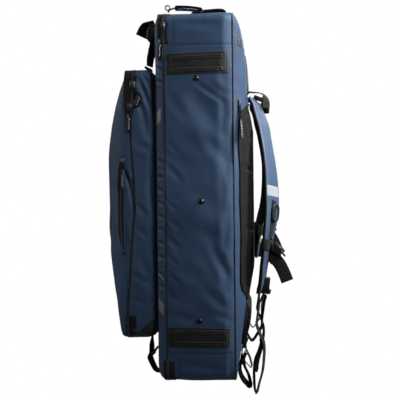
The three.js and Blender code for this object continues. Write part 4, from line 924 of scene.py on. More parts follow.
def lid_shape(P, N):
    """pleats of the rim between the main zip and the pocket, wear along the zip, and a painted highlight band
    on the rim
    """
    y, z = P[..., 1], P[..., 2]
    side = np.clip((np.abs(N[..., 0]) - 0.2) / 0.4, 0, 1)
    push = creases(y, z, LID_FOLDS) * side
    from_zip = np.abs(y - ZIP_PLANE)
    slack = np.clip((from_zip - 3) / 9, 0, 1)
    push += slack * side * (0.7 * lumps(P, 34, 21) + 0.4 * lumps(P, 15, 22))
    above = np.clip((z - POCKET_TOP - 6) / 30, 0, 1) * np.clip((BODY_HEIGHT - z) / 30, 0, 1)
    front = np.clip(-N[..., 1], 0, 1)
    push += front * above * (1.2 + 1.2 * lumps(P, 50, 23))
    # wear along the main zip; the band 15 mm from the zip is a painted highlight on the rim
    wear_and_highlight = np.exp(-from_zip / 4) * 0.3 + 0.2 * (np.abs(from_zip - 15) < 4)
    return push, wear_and_highlight


lid_rings = []
for forward, inset, corner in spline(LID_ROWS, np.linspace(0, len(LID_ROWS) - 1, 22)):
    y = min(ZIP_PLANE - forward * LID_DEPTH, ZIP_PLANE - HALF_ZIP - GAP)
    inset *= LID_DEPTH
    lid_rings.append(drift(round_ring(y, SIDE_FACE - inset, inset, BODY_HEIGHT - inset,
                                      BODY_CORNER * corner)))
lid_rings += cap_rows(lid_rings[-1], 14)
shell("bag_lid", lid_rings, NAVY, "front_lid", lid_shape)

# zip profile: place across the zip, and height above the cloth
ZIP_PROFILE = [
    (-2.2, -3.0), (-2.2, 0.2), (-2.0, 0.75), (-1.5, 0.95), (-1.0, 0.7), (-0.85, 0.1), (-0.7, -0.3),
    (-0.45, 0.2), (0, 0.42), (0.45, 0.2), (0.7, -0.3), (0.85, 0.1), (1.0, 0.7), (1.5, 0.95),
    (2.0, 0.75), (2.2, 0.2), (2.2, -3.0),
]


def loop_piece(name, profile, plane, half, low, high, corner, material, node, warp):
    """profile swept round a rounded rectangle; warp moves it with the cloth"""
    P = np.array([warp(round_ring(plane + way, half + out, low - out, high + out, corner + out))
                  for way, out in profile])
    rows, cols = P.shape[:2]
    faces, R, C = grid_faces(rows, cols, around=True, looped=True)
    U = run_of(np.vstack([P[0], P[0][:1]]))
    V = np.append(np.array(profile)[:, 0], profile[0][0])
    return add_mesh(name, P.reshape(-1, 3), faces, material, uv=grid_uv(R, C, U, V).reshape(-1, 2),
                    node=node)


def unmoved(P):
    """cloth that stays where it is"""
    return P


def cord_profile(radius, sink, count):
    """round section of a cord, sunk into the cloth"""
    return [(radius * math.sin(a), -sink + radius * math.cos(a))
            for a in np.linspace(0, 2 * math.pi, count + 1)[:-1]]


# zip loops: plane, half width, base, top, corner
BODY_LOOP = (ZIP_PLANE, SIDE_FACE, 0, BODY_HEIGHT, BODY_CORNER)
POCKET_LOOP = (POCKET_PLANE, POCKET_SIDE, POCKET_LIFT, POCKET_TOP, POCKET_CORNER)
loop_piece("bag_zip", ZIP_PROFILE, *BODY_LOOP, COIL, "main_zip", drift)
loop_piece("bag_piping", cord_profile(PIPING_SIZE * 0.34, 0.3, 12), PIPING_PLANE, SIDE_FACE - 2.5, 0.4,
           BODY_HEIGHT - 0.4, BODY_CORNER, BINDING, "back_piping", unmoved)

# Front pocket


def wander(P):
    """the pocket's zip line sways: a shift of the line and of the cloth near it"""
    P = np.array(P, float)
    up = (P[..., 2] - POCKET_LIFT) / POCKET_HEIGHT
    rows = np.array(POCKET_WANDER)
    shift = np.interp(up, rows[:, 0], rows[:, 1]) * POCKET_GUSSET
    reach = np.where(P[..., 1] > POCKET_PLANE, POCKET_GUSSET * 0.85, POCKET_BULGE * 0.6)
    fade = np.clip(1 - np.abs(P[..., 1] - POCKET_PLANE) / reach, 0, 1)
    P[..., 1] += shift * fade
    return P


def line_at(x, z, plane):
    """where the swaying zip line lies in Y, for each place"""
    return wander(np.stack([x, np.full_like(x, plane), z], -1))[..., 1]


# points of the pocket's rings along a side, and along top or base
POCKET_CELLS = (190, 76)
# folds and seams on the pocket's gusset, and below on its front, as on the side panel
GUSSET_FOLDS = [
    (-121, 598, -98, 536, 5, 3.6), (-126, 572, -106, 506, 6, 2.8), (-113, 606, -94, 572, 4, 2.4),
    (-126, 470, -98, 455, 7, 1.8), (-101, 420, -96, 330, 6, 2.0), (-128, 348, -104, 322, 6, 1.8),
    (-126, 300, -106, 282, 6, 1.4), (-120, 250, -100, 180, 8, 1.8), (-134, 208, -108, 190, 6, 1.6),
    (-110, 400, -104, 360, 8, 1.4), (-136, 160, -112, 148, 5, 1.2), (-118, 520, -100, 480, 7, 1.8),
]
GUSSET_SEAMS = [((-150, 128), (-88, 128)), ((-122, 84), (-122, 128)), ((-98, 130), (-98, 612))]


def gusset_shape(P, N):
    """folds and seams of the pocket's sides"""
    x, y, z = P[..., 0], P[..., 1], P[..., 2]
    side = np.clip((np.abs(N[..., 0]) - 0.3) / 0.4, 0, 1)
    push = creases(y, z, GUSSET_FOLDS) * side * np.where(x > 0, 1, 0.75)
    press_seams(push, y, z, GUSSET_SEAMS, 0.7, 1.9, side)
    ahead = np.clip((POCKET_BACK - y - 2) / 10, 0, 1)
    from_zip = y - line_at(x, z, POCKET_PLANE)
    slack = ahead * np.clip(from_zip / 10, 0, 1)
    push += slack * (1.4 * lumps(P, 52, 31) + 0.6 * lumps(P, 22, 32))
    push += ahead * 0.5 * np.exp(-np.abs(from_zip) / 8) * lumps(P * [1, 0.4, 1], 12, 33)
    return push, np.exp(-np.abs(from_zip) / 4) * 0.3


gusset_rings = []
for along, inset in spline(POCKET_ROWS, np.linspace(0, len(POCKET_ROWS) - 1, 30)):
    y = max(POCKET_BACK - along * POCKET_GUSSET, POCKET_PLANE + HALF_ZIP + GAP)
    inset *= POCKET_GUSSET
    gusset_rings.append(wander(round_ring(y, POCKET_SIDE - inset, POCKET_LIFT + inset, POCKET_TOP - inset,
                                          POCKET_CORNER, *POCKET_CELLS)))
shell("pocket_gusset", gusset_rings, NAVY, "pocket_shell", gusset_shape)

SLASH_TOP = POCKET_LIFT + POCKET_HEIGHT * 0.668
SLASH_BASE = POCKET_LIFT + POCKET_HEIGHT * 0.312
FRONT_FOLDS = [
    (-152, 416, -140, 380, 4, 3.8), (-140, 380, -134, 350, 4, 3.4), (-134, 350, -131, 318, 4, 1.8),
    (-158, 300, -142, 262, 7, 1.9), (-150, 560, -142, 500, 8, 1.8), (-165, 520, -150, 470, 10, 1.8),
    (-150, 200, -146, 150, 7, 1.6), (-166, 230, -150, 190, 9, 1.4), (-176, 420, -168, 330, 12, 1.4),
]
SEAM_INSET = 52.0
# folds on the pocket's face: x and z of both ends, width, depth
FACE_FOLDS = [
    (-84, 560, -30, 520, 10, 1.6), (88, 566, 40, 516, 10, 1.8), (-60, 140, -10, 168, 11, 1.5),
    (70, 150, 20, 190, 12, 1.6), (-90, 380, -64, 330, 9, 1.6), (92, 330, 66, 270, 9, 1.6),
    (-40, 420, 36, 396, 16, 1.2), (-20, 300, 50, 262, 16, 1.2), (-96, 240, -60, 214, 9, 1.4),
]
FRONT_SEAMS = [((-157, 438), (-136, 452)), ((-156.5, 249), (-142, 233))]


def front_shape(P, N):
    """folds of the pocket's front, with two seams round its face"""
    x, y, z = P[..., 0], P[..., 1], P[..., 2]
    side = np.clip((np.abs(N[..., 0]) - 0.3) / 0.4, 0, 1)
    push = creases(y, z, FRONT_FOLDS) * side * np.where(x > 0, 1, 0.6)
    press_seams(push, y, z, FRONT_SEAMS, 1.0, 1.9, side)
    from_zip = line_at(x, z, POCKET_PLANE) - y
    slack = np.clip(from_zip / 12, 0, 1)
    push += slack * (1.3 * lumps(P, 75, 41) + 0.5 * lumps(P, 28, 42))
    push += 0.5 * np.exp(-np.abs(from_zip) / 8) * lumps(P * [1, 0.4, 1], 12, 43)
    face = np.clip(-N[..., 1], 0, 1) ** 2
    edge = np.minimum(POCKET_SIDE - np.abs(x), np.minimum(z - POCKET_LIFT, POCKET_TOP - z))
    for inset in (SEAM_INSET, SEAM_INSET + 7):
        push -= 1.3 * face * np.exp(-((edge - inset) / 1.8) ** 2)
    push += face * 4.0 * lumps(P, 110, 44) * np.clip((edge - SEAM_INSET) / 30, 0, 1)
    push += face * 1.8 * creases(x, z, FACE_FOLDS)
    push += face * 1.0 * lumps(P, 40, 45) * np.exp(-((edge - SEAM_INSET) / 16) ** 2)
    return push, np.exp(-np.abs(from_zip) / 4) * 0.3


front_rings = []
FRONT_START = POCKET_PLANE - HALF_ZIP - GAP
FRONT_STATIONS = np.linspace(0, len(POCKET_FRONT_ROWS) - 1, 42)
for forward, side, top, base, corner in spline(POCKET_FRONT_ROWS, FRONT_STATIONS):
    y = min(POCKET_PLANE - forward * POCKET_BULGE, FRONT_START)
    front_rings.append(wander(round_ring(y, POCKET_SIDE - side * POCKET_WIDTH,
                                         POCKET_LIFT + base * POCKET_HEIGHT, POCKET_TOP - top * POCKET_HEIGHT,
                                         POCKET_CORNER * corner, *POCKET_CELLS)))
front_rings += cap_rows(front_rings[-1], 6)
# the face is flatter towards the pocket's top
FLAT_REACH = 120
for ring in front_rings[1:]:
    from_top = np.clip((ring[:, 2] - POCKET_TOP + FLAT_REACH) / FLAT_REACH, 0, 1) ** 2
    edge = line_at(ring[:, 0], ring[:, 2], FRONT_START)
    ring[:, 1] += (edge - ring[:, 1]) * 0.5 * from_top
shell("pocket_bulge", front_rings, NAVY, "pocket_front", front_shape)
# a place clear of the pocket's front, from which stitches are laid on it
AHEAD = -260.0
for inset in (SEAM_INSET - 4.5, SEAM_INSET + 11.5):
    row = round_ring(AHEAD, POCKET_SIDE - inset, POCKET_LIFT + inset, POCKET_TOP - inset, 24)
    stitch(drape("pocket_bulge", np.concatenate([row, row[:1]]), (0, 1, 0)), (0, -1, 0))
loop_piece("pocket_zip_line", ZIP_PROFILE, *POCKET_LOOP, COIL, "pocket_zip", wander)

# Wide zip tapes where the welt ends

TAPE_OUT, TAPE_THICK = 0.55, 0.9


def tape_along(name, loop, keep, warp, width, shift, taper=None):
    """tape with its teeth on the stretches of a zip loop that keep() picks"""
    plane, half, low, high, corner = loop
    out = TAPE_OUT
    ring = round_ring(plane, half + out, low - out, high + out, corner + out)
    index = [i for i in range(len(ring)) if keep(ring[i])]
    jump = next((k for k in range(1, len(index)) if index[k] != index[k - 1] + 1), 0)
    index = index[jump:] + index[:jump]
    path = warp(ring[index])
    path[:, 1] += shift
    path = smooth_path(path[::4], 3)
    wide = np.full(len(path), float(width)) if taper is None else np.array([taper(p) for p in path])
    ribbon(name, path, (0, 1, 0), wide, TAPE_THICK, TAPE)
    teeth = path.copy()
    teeth[:, 1] -= shift
    middle = teeth.mean(0)
    away = teeth - middle
    grow = 1 + 1.0 / np.maximum(np.linalg.norm(away[:, [0, 2]], axis=1), 60)
    for axis in (0, 2):
        teeth[:, axis] = middle[axis] + away[:, axis] * grow
    ribbon(name + "_coil", teeth, (0, 1, 0), 4.6, 1.4, COIL)


def pocket_taper(p):
    """the upper tape narrows downwards"""
    return 26 if p[2] > 568 else 12 + 14 * max(0, (p[2] - 515) / 53)


tape_along("tape_top", BODY_LOOP, lambda p: p[2] > 660, drift, 26, 2.5)
tape_along("tape_base", BODY_LOOP, lambda p: p[2] < 47, drift, 22, 4)
tape_along("pocket_tape_top", POCKET_LOOP, lambda p: p[2] > 518, wander, 26, -4.0, pocket_taper)
tape_along("pocket_tape_base", POCKET_LOOP, lambda p: p[2] < 127, wander, 20, 7.5)


def even_lift(height):
    """same height all over a skin"""
    return lambda a, b, long, tall: np.full_like(a, height)


def ribbed(a, b, long, tall):
    """rubber patch with a stitched border and two raised ribs"""
    h = np.full_like(a, 1.1)
    border = np.minimum(np.minimum(a, long - a), np.minimum(b, tall - b))
    h -= 0.55 * np.exp(-((border - 3.0) / 0.8) ** 2)
    for share in (0.2, 0.77):
        inside = (a > long * 0.07) & (a < long * 0.92)
        end = np.minimum(a - long * 0.07, long * 0.92 - a)
        d = np.abs(b - tall * share)
        bar = np.clip((3.6 - d) / 1.1, 0, 1) * np.clip(end / 1.1, 0, 1) * inside
        h += 1.0 * bar
        h -= 0.8 * np.clip((1.3 - d) / 0.6, 0, 1) * np.clip((end - 3) / 0.8, 0, 1) * inside
        h -= 0.6 * np.exp(-((end - 8) / 0.7) ** 2) * bar
    return h


# radius and height of a snap's cap
SNAP_PROFILE = [(6.3, -0.4), (6.3, 0.5), (5.9, 0.95), (5.4, 0.9), (5.2, 0.75), (4.8, 1.5), (3.9, 2.3),
                (2.4, 2.85), (1.0, 3.05), (0.2, 3.1)]
# a place clear of the bag's side, from which pieces are laid on it
CLEAR = 190.0

# slash zip: shares of its length, then the y of its line and its width there
SLASH_BEND = ([0, 0.12, 0.3, 0.6, 0.85, 1], [-153.5, -156.8, -158.6, -159.4, -158.2, -153.5])
SLASH_WIDE = ([0, 0.05, 0.15, 0.8, 0.93, 1], [5, 13.5, 15.5, 14.5, 9.5, 3])
# ribbed patches: name, surface, y and z of the corners
SIDE_PATCHES = [
    ("patch_upper", "bag_shell", [(-64.5, 600), (58, 601.5), (57.5, 644.5), (-63.5, 642)]),
    ("patch_lower", "bag_shell", [(-63.5, 66.5), (56, 66.3), (56, 105.3), (-65, 106.2)]),
]
# reflectors on the front rim: name, y and z of the corners
REFLECTORS = [
    ("high", [(-85.6, 528.5), (-74.2, 539.0), (-74.5, 511.6), (-85.6, 501.0)]),
    ("low", [(-85.6, 166.7), (-72.8, 152.0), (-73.0, 127.5), (-85.6, 141.2)]),
]
# cords across the front rim: name, y and z of both ends, material
RIM_SEAMS = [("upper", -85.6, 453, -73.5, 462.6, NAVY), ("lower", -85.6, 213, -72.5, 198.5, REFLECT)]
# sewn rows: surface, points a row, forward lean of the stitches, then y and z of both ends
SEWN_ROWS = [
    ("bag_shell", 60, 0, [((-58, 660.5), (63, 659.5)), ((-58, 653.4), (63, 652.6)),
                          ((-46.5, 663), (-46.5, 714)), ((-68, 57.2), (63, 57.4)),
                          ((-68, 49.8), (63, 50.0)), ((-43.5, 5), (-43.5, 47))]),
    ("pocket_gusset", 60, 0, [((-124, 131.5), (-92, 131.5)), ((-126, 124.2), (-92, 124.2)),
                              ((-119, 86), (-119, 122)), ((-101, 134), (-101, 606))]),
    ("pocket_bulge", 20, -0.3, [((-156, 434), (-136.5, 447.5)), ((-155, 253), (-143, 238.5))]),
]


def slash_zip(way, tag, side, far):
    """tape under a curved welt"""
    rows = []
    for z in np.linspace(SLASH_TOP, SLASH_BASE, 60):
        rows.append((far, np.interp((SLASH_TOP - z) / (SLASH_TOP - SLASH_BASE), *SLASH_BEND), z))
    path = drape("pocket_bulge", np.array(rows), side)
    normal_way = np.array([way * 0.9, -0.42, 0])
    path = path + normal_way * 0.7
    across = unit(np.array([way * 0.42, 0.9, 0]))
    wide = by_share(path, SLASH_WIDE)
    ribbon(f"slash_tape_{tag}", path, across, wide, TAPE_THICK, TAPE, node=f"slash_zip_{tag}")
    ribbon(f"slash_coil_{tag}", path + normal_way * 0.5, across, 4.2, 1.1, COIL)
    for edge, grow in ((-1, 1.3), (1, 1.0)):
        line = path + across * (wide / 2 * edge)[:, None] + normal_way * 0.1
        tube(f"slash_welt_{tag}_{'ab'[edge > 0]}", line, grow, NAVY, sides=8)


def side_pieces(way, tag, side, far):
    """patches, snaps, reflectors, rim cords and sewn rows of one side"""
    for name, surface, corners in SIDE_PATCHES:
        skin(f"{name}_{tag}", surface, [(far, *corner) for corner in corners], side, ribbed, RUBBER,
             step=0.95, node=f"side_{name}_{tag}")
    for spot in ("upper", "middle", "lower"):
        lo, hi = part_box(f"snap_{spot}_{tag}")
        centre = (np.array(lo) + np.array(hi)) / 2 / METRE + ORIGIN
        centre[0] = way * (SIDE_FACE + 0.1)
        surface = drape("bag_shell", centre[None] + [way * 40, 0, 0], side)[0]
        lathe(f"snap_{spot}_{tag}_cap", SNAP_PROFILE, surface, (way, 0, 0), SNAP, node=f"snap_{spot}_{tag}")
    for label, corners in REFLECTORS:
        skin(f"reflector_{label}_{tag}", "bag_lid", [(far, *corner) for corner in corners], side,
             even_lift(0.35), REFLECT, step=1.5)
    for label, y0, z0, y1, z1, cord in RIM_SEAMS:
        line = np.linspace((far, y0, z0), (far, y1, z1), 12)
        tube(f"rim_seam_{label}_{tag}", drape("bag_lid", line, side) - side * 0.2, 0.75, cord, sides=8)
    for surface, count, ahead, ends in SEWN_ROWS:
        for p0, p1 in ends:
            line = np.linspace((far, *p0), (far, *p1), count)
            stitch(drape(surface, line, side), (way, ahead, 0))


SIDES = ((1, "right"), (-1, "left"))
for way, tag in SIDES:
    side = np.array([-way, 0.0, 0.0])
    far = way * CLEAR
    # pocket base skin with its cheek
    skin(f"pocket_base_{tag}", "pocket_gusset",
         [(far, -93, 82), (far, -129, 82), (far, -129, 92), (far, -93, 124)], side, even_lift(1.0), RUBBER,
         node="pocket_base" if way > 0 else (), step=1.5)
    slash_zip(way, tag, side, far)
    side_pieces(way, tag, side, far)

# Back of the bag

# the way onto the back, and a place clear of it from which pieces are laid on
BACKWARD = np.array([0, -1.0, 0])
BEHIND = 200.0
# simulation: cell of a pad's grid, air pressure, farthest move, last frame, stiffness
PAD_CELL, PRESSURE, PUFF_CAP, LAST_FRAME, STIFFNESS = 4.2, 3.6, 5, 20, 12
PAD_LIFT, PAD_HIGH, PAD_HALF = 156.0, BODY_HEIGHT * 0.758 - 4.0, SIDE_FACE - 10.0
LUMBAR_LOW, LUMBAR_HIGH, LUMBAR_HALF = 66.0, 144.0, SIDE_FACE - 22.0


def rounded_grid(half, low, high, radius, nu, nv):
    """grid whose border is a rounded rectangle in XZ"""
    u, v = np.meshgrid(np.linspace(-1, 1, nu), np.linspace(-1, 1, nv), indexing="ij")
    x, z = u * half, (low + high) / 2 + v * (high - low) / 2
    tall = (high - low) / 2
    cx, cz = half - radius, tall - radius
    dx, dz = np.abs(u) * half - cx, np.abs(v) * tall - cz
    corner = (dx > 0) & (dz > 0)
    reach = np.maximum(dx, dz)
    long = np.hypot(dx, dz)
    k = np.where(corner & (long > 1e-9), reach / np.maximum(long, 1e-9), 1)
    x = np.where(corner, np.sign(u) * (cx + dx * k), x)
    z = np.where(corner, (low + high) / 2 + np.sign(v) * (cz + dz * k), z)
    edge = np.minimum(half - np.abs(u) * half, tall - np.abs(v) * tall)
    return x, z, edge


def pad(name, half, low, high, radius, thick, node, channels):
    """padded panel on the back: crowned grid over its seat, puffed, then carved with channels"""
    nu, nv = int(half * 2 / PAD_CELL), int((high - low) / PAD_CELL)
    x, z, edge = rounded_grid(half, low, high, radius, nu, nv)
    seat = drape("bag_shell", np.stack([x, np.full_like(x, BEHIND), z], -1), BACKWARD)
    crown = (1 - np.clip(1 - edge / 14, 0, 1) ** 2.4) ** 0.6
    top = seat - BACKWARD * (0.6 + 0.35 + (thick - 1.2) * crown)[..., None]
    under = seat - BACKWARD * 0.35
    faces, _, _ = grid_faces(nu, nv)
    count = nu * nv
    border = ([(i, 0) for i in range(nu)] + [(nu - 1, j) for j in range(1, nv)]
              + [(i, nv - 1) for i in range(nu - 2, -1, -1)] + [(0, j) for j in range(nv - 2, 0, -1)])
    ids = [i * nv + j for i, j in border]
    sides = [[a, b, b + count, a + count] for a, b in zip(ids, ids[1:] + ids[:1])]
    points = np.concatenate([top.reshape(-1, 3), under.reshape(-1, 3)])
    all_faces = [list(f) for f in faces] + [list(f[::-1] + count) for f in faces] + sides
    piece = add_mesh(name, points, all_faces, MESH_PAD, node=node)
    puff(piece, seat.reshape(-1, 3), ids)
    carve(piece, channels)
    return piece


def puff(piece, seat, border):
    """fills a pad with air: cloth under pressure, its seat and border held, its movement capped"""
    bpy.context.view_layer.objects.active = piece
    mesh = piece.data
    start = np.array([v.co[:] for v in mesh.vertices])
    group = piece.vertex_groups.new(name="held")
    held = list(range(len(seat), len(start))) + border
    group.add(held, 1.0, "REPLACE")
    cloth = piece.modifiers.new("cloth", "CLOTH")
    settings = cloth.settings
    settings.quality = 4
    settings.mass = 0.3
    settings.tension_stiffness = STIFFNESS
    settings.compression_stiffness = STIFFNESS
    settings.bending_stiffness = 0.6
    settings.use_pressure = True
    settings.uniform_pressure_force = PRESSURE
    settings.effector_weights.gravity = 0
    settings.vertex_group_mass = "held"
    cloth.point_cache.frame_start, cloth.point_cache.frame_end = 1, LAST_FRAME
    for step in range(1, LAST_FRAME + 1):
        bpy.context.scene.frame_set(step)
    shape = piece.evaluated_get(bpy.context.evaluated_depsgraph_get()).to_mesh()
    moved = np.array([v.co[:] for v in shape.vertices])
    piece.modifiers.remove(cloth)
    bpy.context.scene.frame_set(1)
    change = moved - start
    size = np.linalg.norm(change, axis=1, keepdims=True)
    change *= np.minimum(1, PUFF_CAP * METRE / np.maximum(size, 1e-9))
    final = start + change
    final[:len(seat), 1] = np.maximum(final[:len(seat), 1], placed(seat)[:, 1] + 0.5 * METRE)
    mesh.vertices.foreach_set("co", final.reshape(-1))
    mesh.update()
    piece.vertex_groups.clear()
    finer = piece.modifiers.new("finer", "SUBSURF")
    finer.levels = finer.render_levels = 1
    bpy.ops.object.modifier_apply(modifier="finer")
    mesh = piece.data
    mesh.polygons.foreach_set("use_smooth", [True] * len(mesh.polygons))


def carve(piece, channels):
    """sewn channels in a pad's outer face: x and z of both ends, width, depth"""
    mesh = piece.data
    co = np.array([v.co[:] for v in mesh.vertices])
    normal = np.array([v.normal[:] for v in mesh.vertices])
    x, z = co[:, 0] / METRE, co[:, 2] / METRE + ORIGIN[2]
    facing = np.clip(normal[:, 1] * 1.6, 0, 1)
    depth = np.zeros(len(co))
    for x0, z0, x1, z1, width, deep in channels:
        away, _ = line_distance(x, z, (x0, z0), (x1, z1))
        depth = np.maximum(depth, deep * np.exp(-(away / width) ** 2))
    co[:, 1] -= depth * facing * METRE
    mesh.vertices.foreach_set("co", co.reshape(-1))
    mesh.update()


BACK_CHANNELS = [
    (-42, 170, -42, 530, 5, 4.2), (42, 170, 42, 530, 5, 4.2), (-125, 420, -48, 402, 4, 3.4),
    (125, 420, 48, 402, 4, 3.4), (-125, 300, -48, 286, 4, 3.4), (125, 300, 48, 286, 4, 3.4),
]
LUMBAR_CHANNELS = [(-36, 72, -36, 138, 4, 2.4), (36, 72, 36, 138, 4, 2.4)]
pad("back_cushion", PAD_HALF, PAD_LIFT, PAD_HIGH, 34, PAD_THICK, "back_pad", BACK_CHANNELS)
pad("lumbar_cushion", LUMBAR_HALF, LUMBAR_LOW, LUMBAR_HIGH, 23, 8.5, "lumbar_pad", LUMBAR_CHANNELS)


def pad_binding(name, half, low, high, radius):
    """bound edge round a pad"""
    ring = round_ring(BEHIND, half, low, high, radius)[::3]
    path = drape("bag_shell", ring, BACKWARD) - BACKWARD * 1.6
    tube(name, path, 1.9, BINDING, closed=True, sides=10)


pad_binding("back_binding", PAD_HALF - 0.5, PAD_LIFT + 0.5, PAD_HIGH - 0.5, 34)
pad_binding("lumbar_binding", LUMBAR_HALF - 0.5, LUMBAR_LOW + 0.5, LUMBAR_HIGH - 0.5, 23)


def bordered(a, b, long, tall):
    """plate with a pressed line inside its border"""
    border = np.minimum(np.minimum(a, long - a), np.minimum(b, tall - b))
    return 2.0 - 0.8 * np.exp(-((border - 4.0) / 1.0) ** 2)


PATCH_LOW = BODY_HEIGHT * 0.7945 + WEBBING_THICK + 7
PATCH_HALF, PATCH_TALL = 65, 66
skin("back_plate", "bag_shell",
     [(PATCH_HALF, BEHIND, PATCH_LOW), (-PATCH_HALF, BEHIND, PATCH_LOW),
      (-PATCH_HALF, BEHIND, PATCH_LOW + PATCH_TALL), (PATCH_HALF, BEHIND, PATCH_LOW + PATCH_TALL)],
     BACKWARD, bordered, RUBBER, step=1.8, node="back_patch")

# Shoulder straps


def strap_path(tag):
    """middle line of a shoulder strap, its width, and its ways across and out"""
    out_col, up_col = (1, 3) if tag == "right" else (2, 4)
    rows = np.array(STRAP_ROWS, float)
    table = np.stack([rows[:, 0] * STRAP_SPREAD, BACK_FACE + rows[:, out_col] * STRAP_REACH,
                      rows[:, up_col] * BODY_HEIGHT, rows[:, 5] * STRAP_WIDTH, np.radians(rows[:, 6])], 1)
    fine = smooth_path(table, 3.0)
    path, width, turn = fine[:, :3], fine[:, 3], fine[:, 4]
    across = np.stack([np.cos(turn), -np.sin(turn), np.zeros(len(turn))], 1)
    _, across, face = frames_of(path, across)
    if tag == "left":
        flip = np.array([-1, 1, 1.0])
        path, across, face = path * flip, across * flip, face * flip
    return path, width, across, -face


# points across one face of a strap
LAYER_POINTS = 23


def strap_layer(name, tag, thick, way, material, node, seed):
    """cover or lining of a shoulder strap, crowned, with a seam near each edge"""
    path, width, across, out = strap_path(tag)
    outward = out * way
    w = np.concatenate([np.linspace(-1, 1, LAYER_POINTS), np.linspace(1, -1, LAYER_POINTS)])
    top = np.concatenate([np.ones(LAYER_POINTS), np.zeros(LAYER_POINTS)])
    crown = (1 - np.abs(w) ** 5) ** 0.5 * 0.72 + 0.28
    crown = np.where(np.abs(w) > 0.999, 0.3, crown)
    seam = 1 - 0.28 * np.exp(-((np.abs(w) - 0.8) / 0.05) ** 2)
    height = GAP / 2 + top * thick * crown * seam
    end = np.clip(np.minimum(np.arange(len(path)), np.arange(len(path))[::-1]) / 3.0, 0.25, 1) ** 0.5
    P = (path[:, None] + across[:, None] * (width[:, None] / 2 * w * 0.985)[..., None]
         + outward[:, None] * (GAP / 2 + (height - GAP / 2) * end[:, None])[..., None])
    slack = lumps(P, 24, seed) * top * np.clip(1 - np.abs(w) ** 3, 0, 1)
    P = P + outward[:, None] * (0.45 * slack)[..., None]
    rows, cols = P.shape[:2]
    faces, R, C = grid_faces(rows, cols, around=True)
    run = run_of(path)
    at = np.append(w, w[0]) * 30
    uv = grid_uv(R, C, at, run)[..., ::-1].reshape(-1, 2)
    ends = np.zeros((2 * cols, 2))
    face_list = with_ends(faces, rows, cols)
    piece = add_mesh(name, P.reshape(-1, 3), face_list, material, uv=np.concatenate([uv, ends]), node=node,
                     wear_and_highlight=np.clip((np.abs(np.broadcast_to(w, (rows, cols))) - 0.85) * 2, 0, 0.3))
    tri = [[f[0], f[1], f[2]] for f in face_list[:-2]] + [[f[0], f[2], f[3]] for f in face_list[:-2]]
    TREES[name] = BVHTree.FromPolygons(P.reshape(-1, 3).tolist(), tri)
    return piece


def strap_place(tag, z, aside=0.0, lift=0.0):
    """place on a strap's outer face at a height, with its across, out and along ways"""
    path, _, across, out = strap_path(tag)
    order = np.argsort(path[:, 2])

    def pick(values):
        return np.array([np.interp(z, path[order, 2], values[order, k]) for k in range(values.shape[1])])

    a, o = unit(pick(across)), unit(pick(out))
    return pick(path) + a * aside + o * (GAP / 2 + STRAP_COVER + lift), a, o


for tag in ("right", "left"):
    strap_layer(f"strap_cover_{tag}", tag, STRAP_COVER, 1, NAVY_PAINTED_LIGHTER, f"strap_{tag}", 51)
    strap_layer(f"strap_mesh_{tag}", tag, 6.0, -1, MESH_STRAP, f"strap_lining_{tag}", 52)
    path, width, across, out = strap_path(tag)
    for edge in (-1, 1):
        line = path + across * (width / 2 * edge * 0.985)[:, None]
        tube(f"strap_edge_{tag}_{'ab'[edge > 0]}", line[1:-1], 1.7, BINDING, sides=8)
        row = path + across * ((width / 2 - 6.5) * edge)[:, None] + out * (STRAP_COVER * 0.86)
        for a, b in zip(row[4:-6:2], row[6:-4:2]):
            STITCHES["navy"].append((a, a + unit(b - a) * 2.6, unit(out[10]), 0.42))


# Webbing routes: share of STRAP_REACH from the back face, of BODY_HEIGHT, of STRAP_SPREAD

LOWER_ROUTE = [
    (-0.073, 0.121, 0.87), (0.0, 0.109, 0.87), (0.094, 0.1, 0.87), (0.185, 0.102, 0.87),
    (0.323, 0.115, 0.875), (0.427, 0.126, 0.88), (0.529, 0.139, 0.89), (0.552, 0.164, 0.92),
    (0.594, 0.185, 0.95), (0.656, 0.212, 0.98), (0.69, 0.222, 0.99), (0.67, 0.227, 1.0),
    (0.6, 0.226, 1.01), (0.523, 0.216, 1.02), (0.44, 0.204, 1.04), (0.4, 0.186, 1.07),
    (0.354, 0.165, 1.11), (0.331, 0.149, 1.14), (0.412, 0.133, 1.16), (0.49, 0.119, 1.17),
    (0.565, 0.101, 1.17), (0.562, 0.082, 1.17), (0.46, 0.066, 1.17), (0.3, 0.047, 1.16),
    (0.156, 0.031, 1.15), (0.119, 0.014, 1.14), (0.104, -0.007, 1.13), (0.094, -0.021, 1.13),
    (0.071, -0.035, 1.12), (0.102, -0.042, 1.12),
]
# how far the near webbing's hanging run swings out and up from its route
SWING = [
    (0.04, 0), (0.07, -0.004), (0.15, -0.012), (0.26, -0.022), (0.33, -0.026), (0.3, -0.024),
    (0.26, -0.018), (0.24, -0.012), (0.24, -0.004), (0.17, 0.002),
]
# the same webbing's way back up, in the same shares as its route
RETURN_RUN = [
    (0.215, -0.024, 1.1), (0.2, 0.0, 1.09), (0.205, 0.026, 1.08), (0.26, 0.05, 1.08),
    (0.4, 0.073, 1.08), (0.5, 0.095, 1.08), (0.52, 0.112, 1.08),
]
# load lifter: shares of STRAP_REACH, of BODY_HEIGHT and of WEBBING_THICK
LIFTER_ROUTE = [
    (0.03, 0.783, 1), (0.037, 0.789, 1), (0.115, 0.7945, 1), (0.281, 0.7935, 1), (0.5, 0.7925, 1),
    (0.66, 0.789, 1), (0.755, 0.783, 1.2), (0.79, 0.768, 3), (0.785, 0.749, 3.4),
]
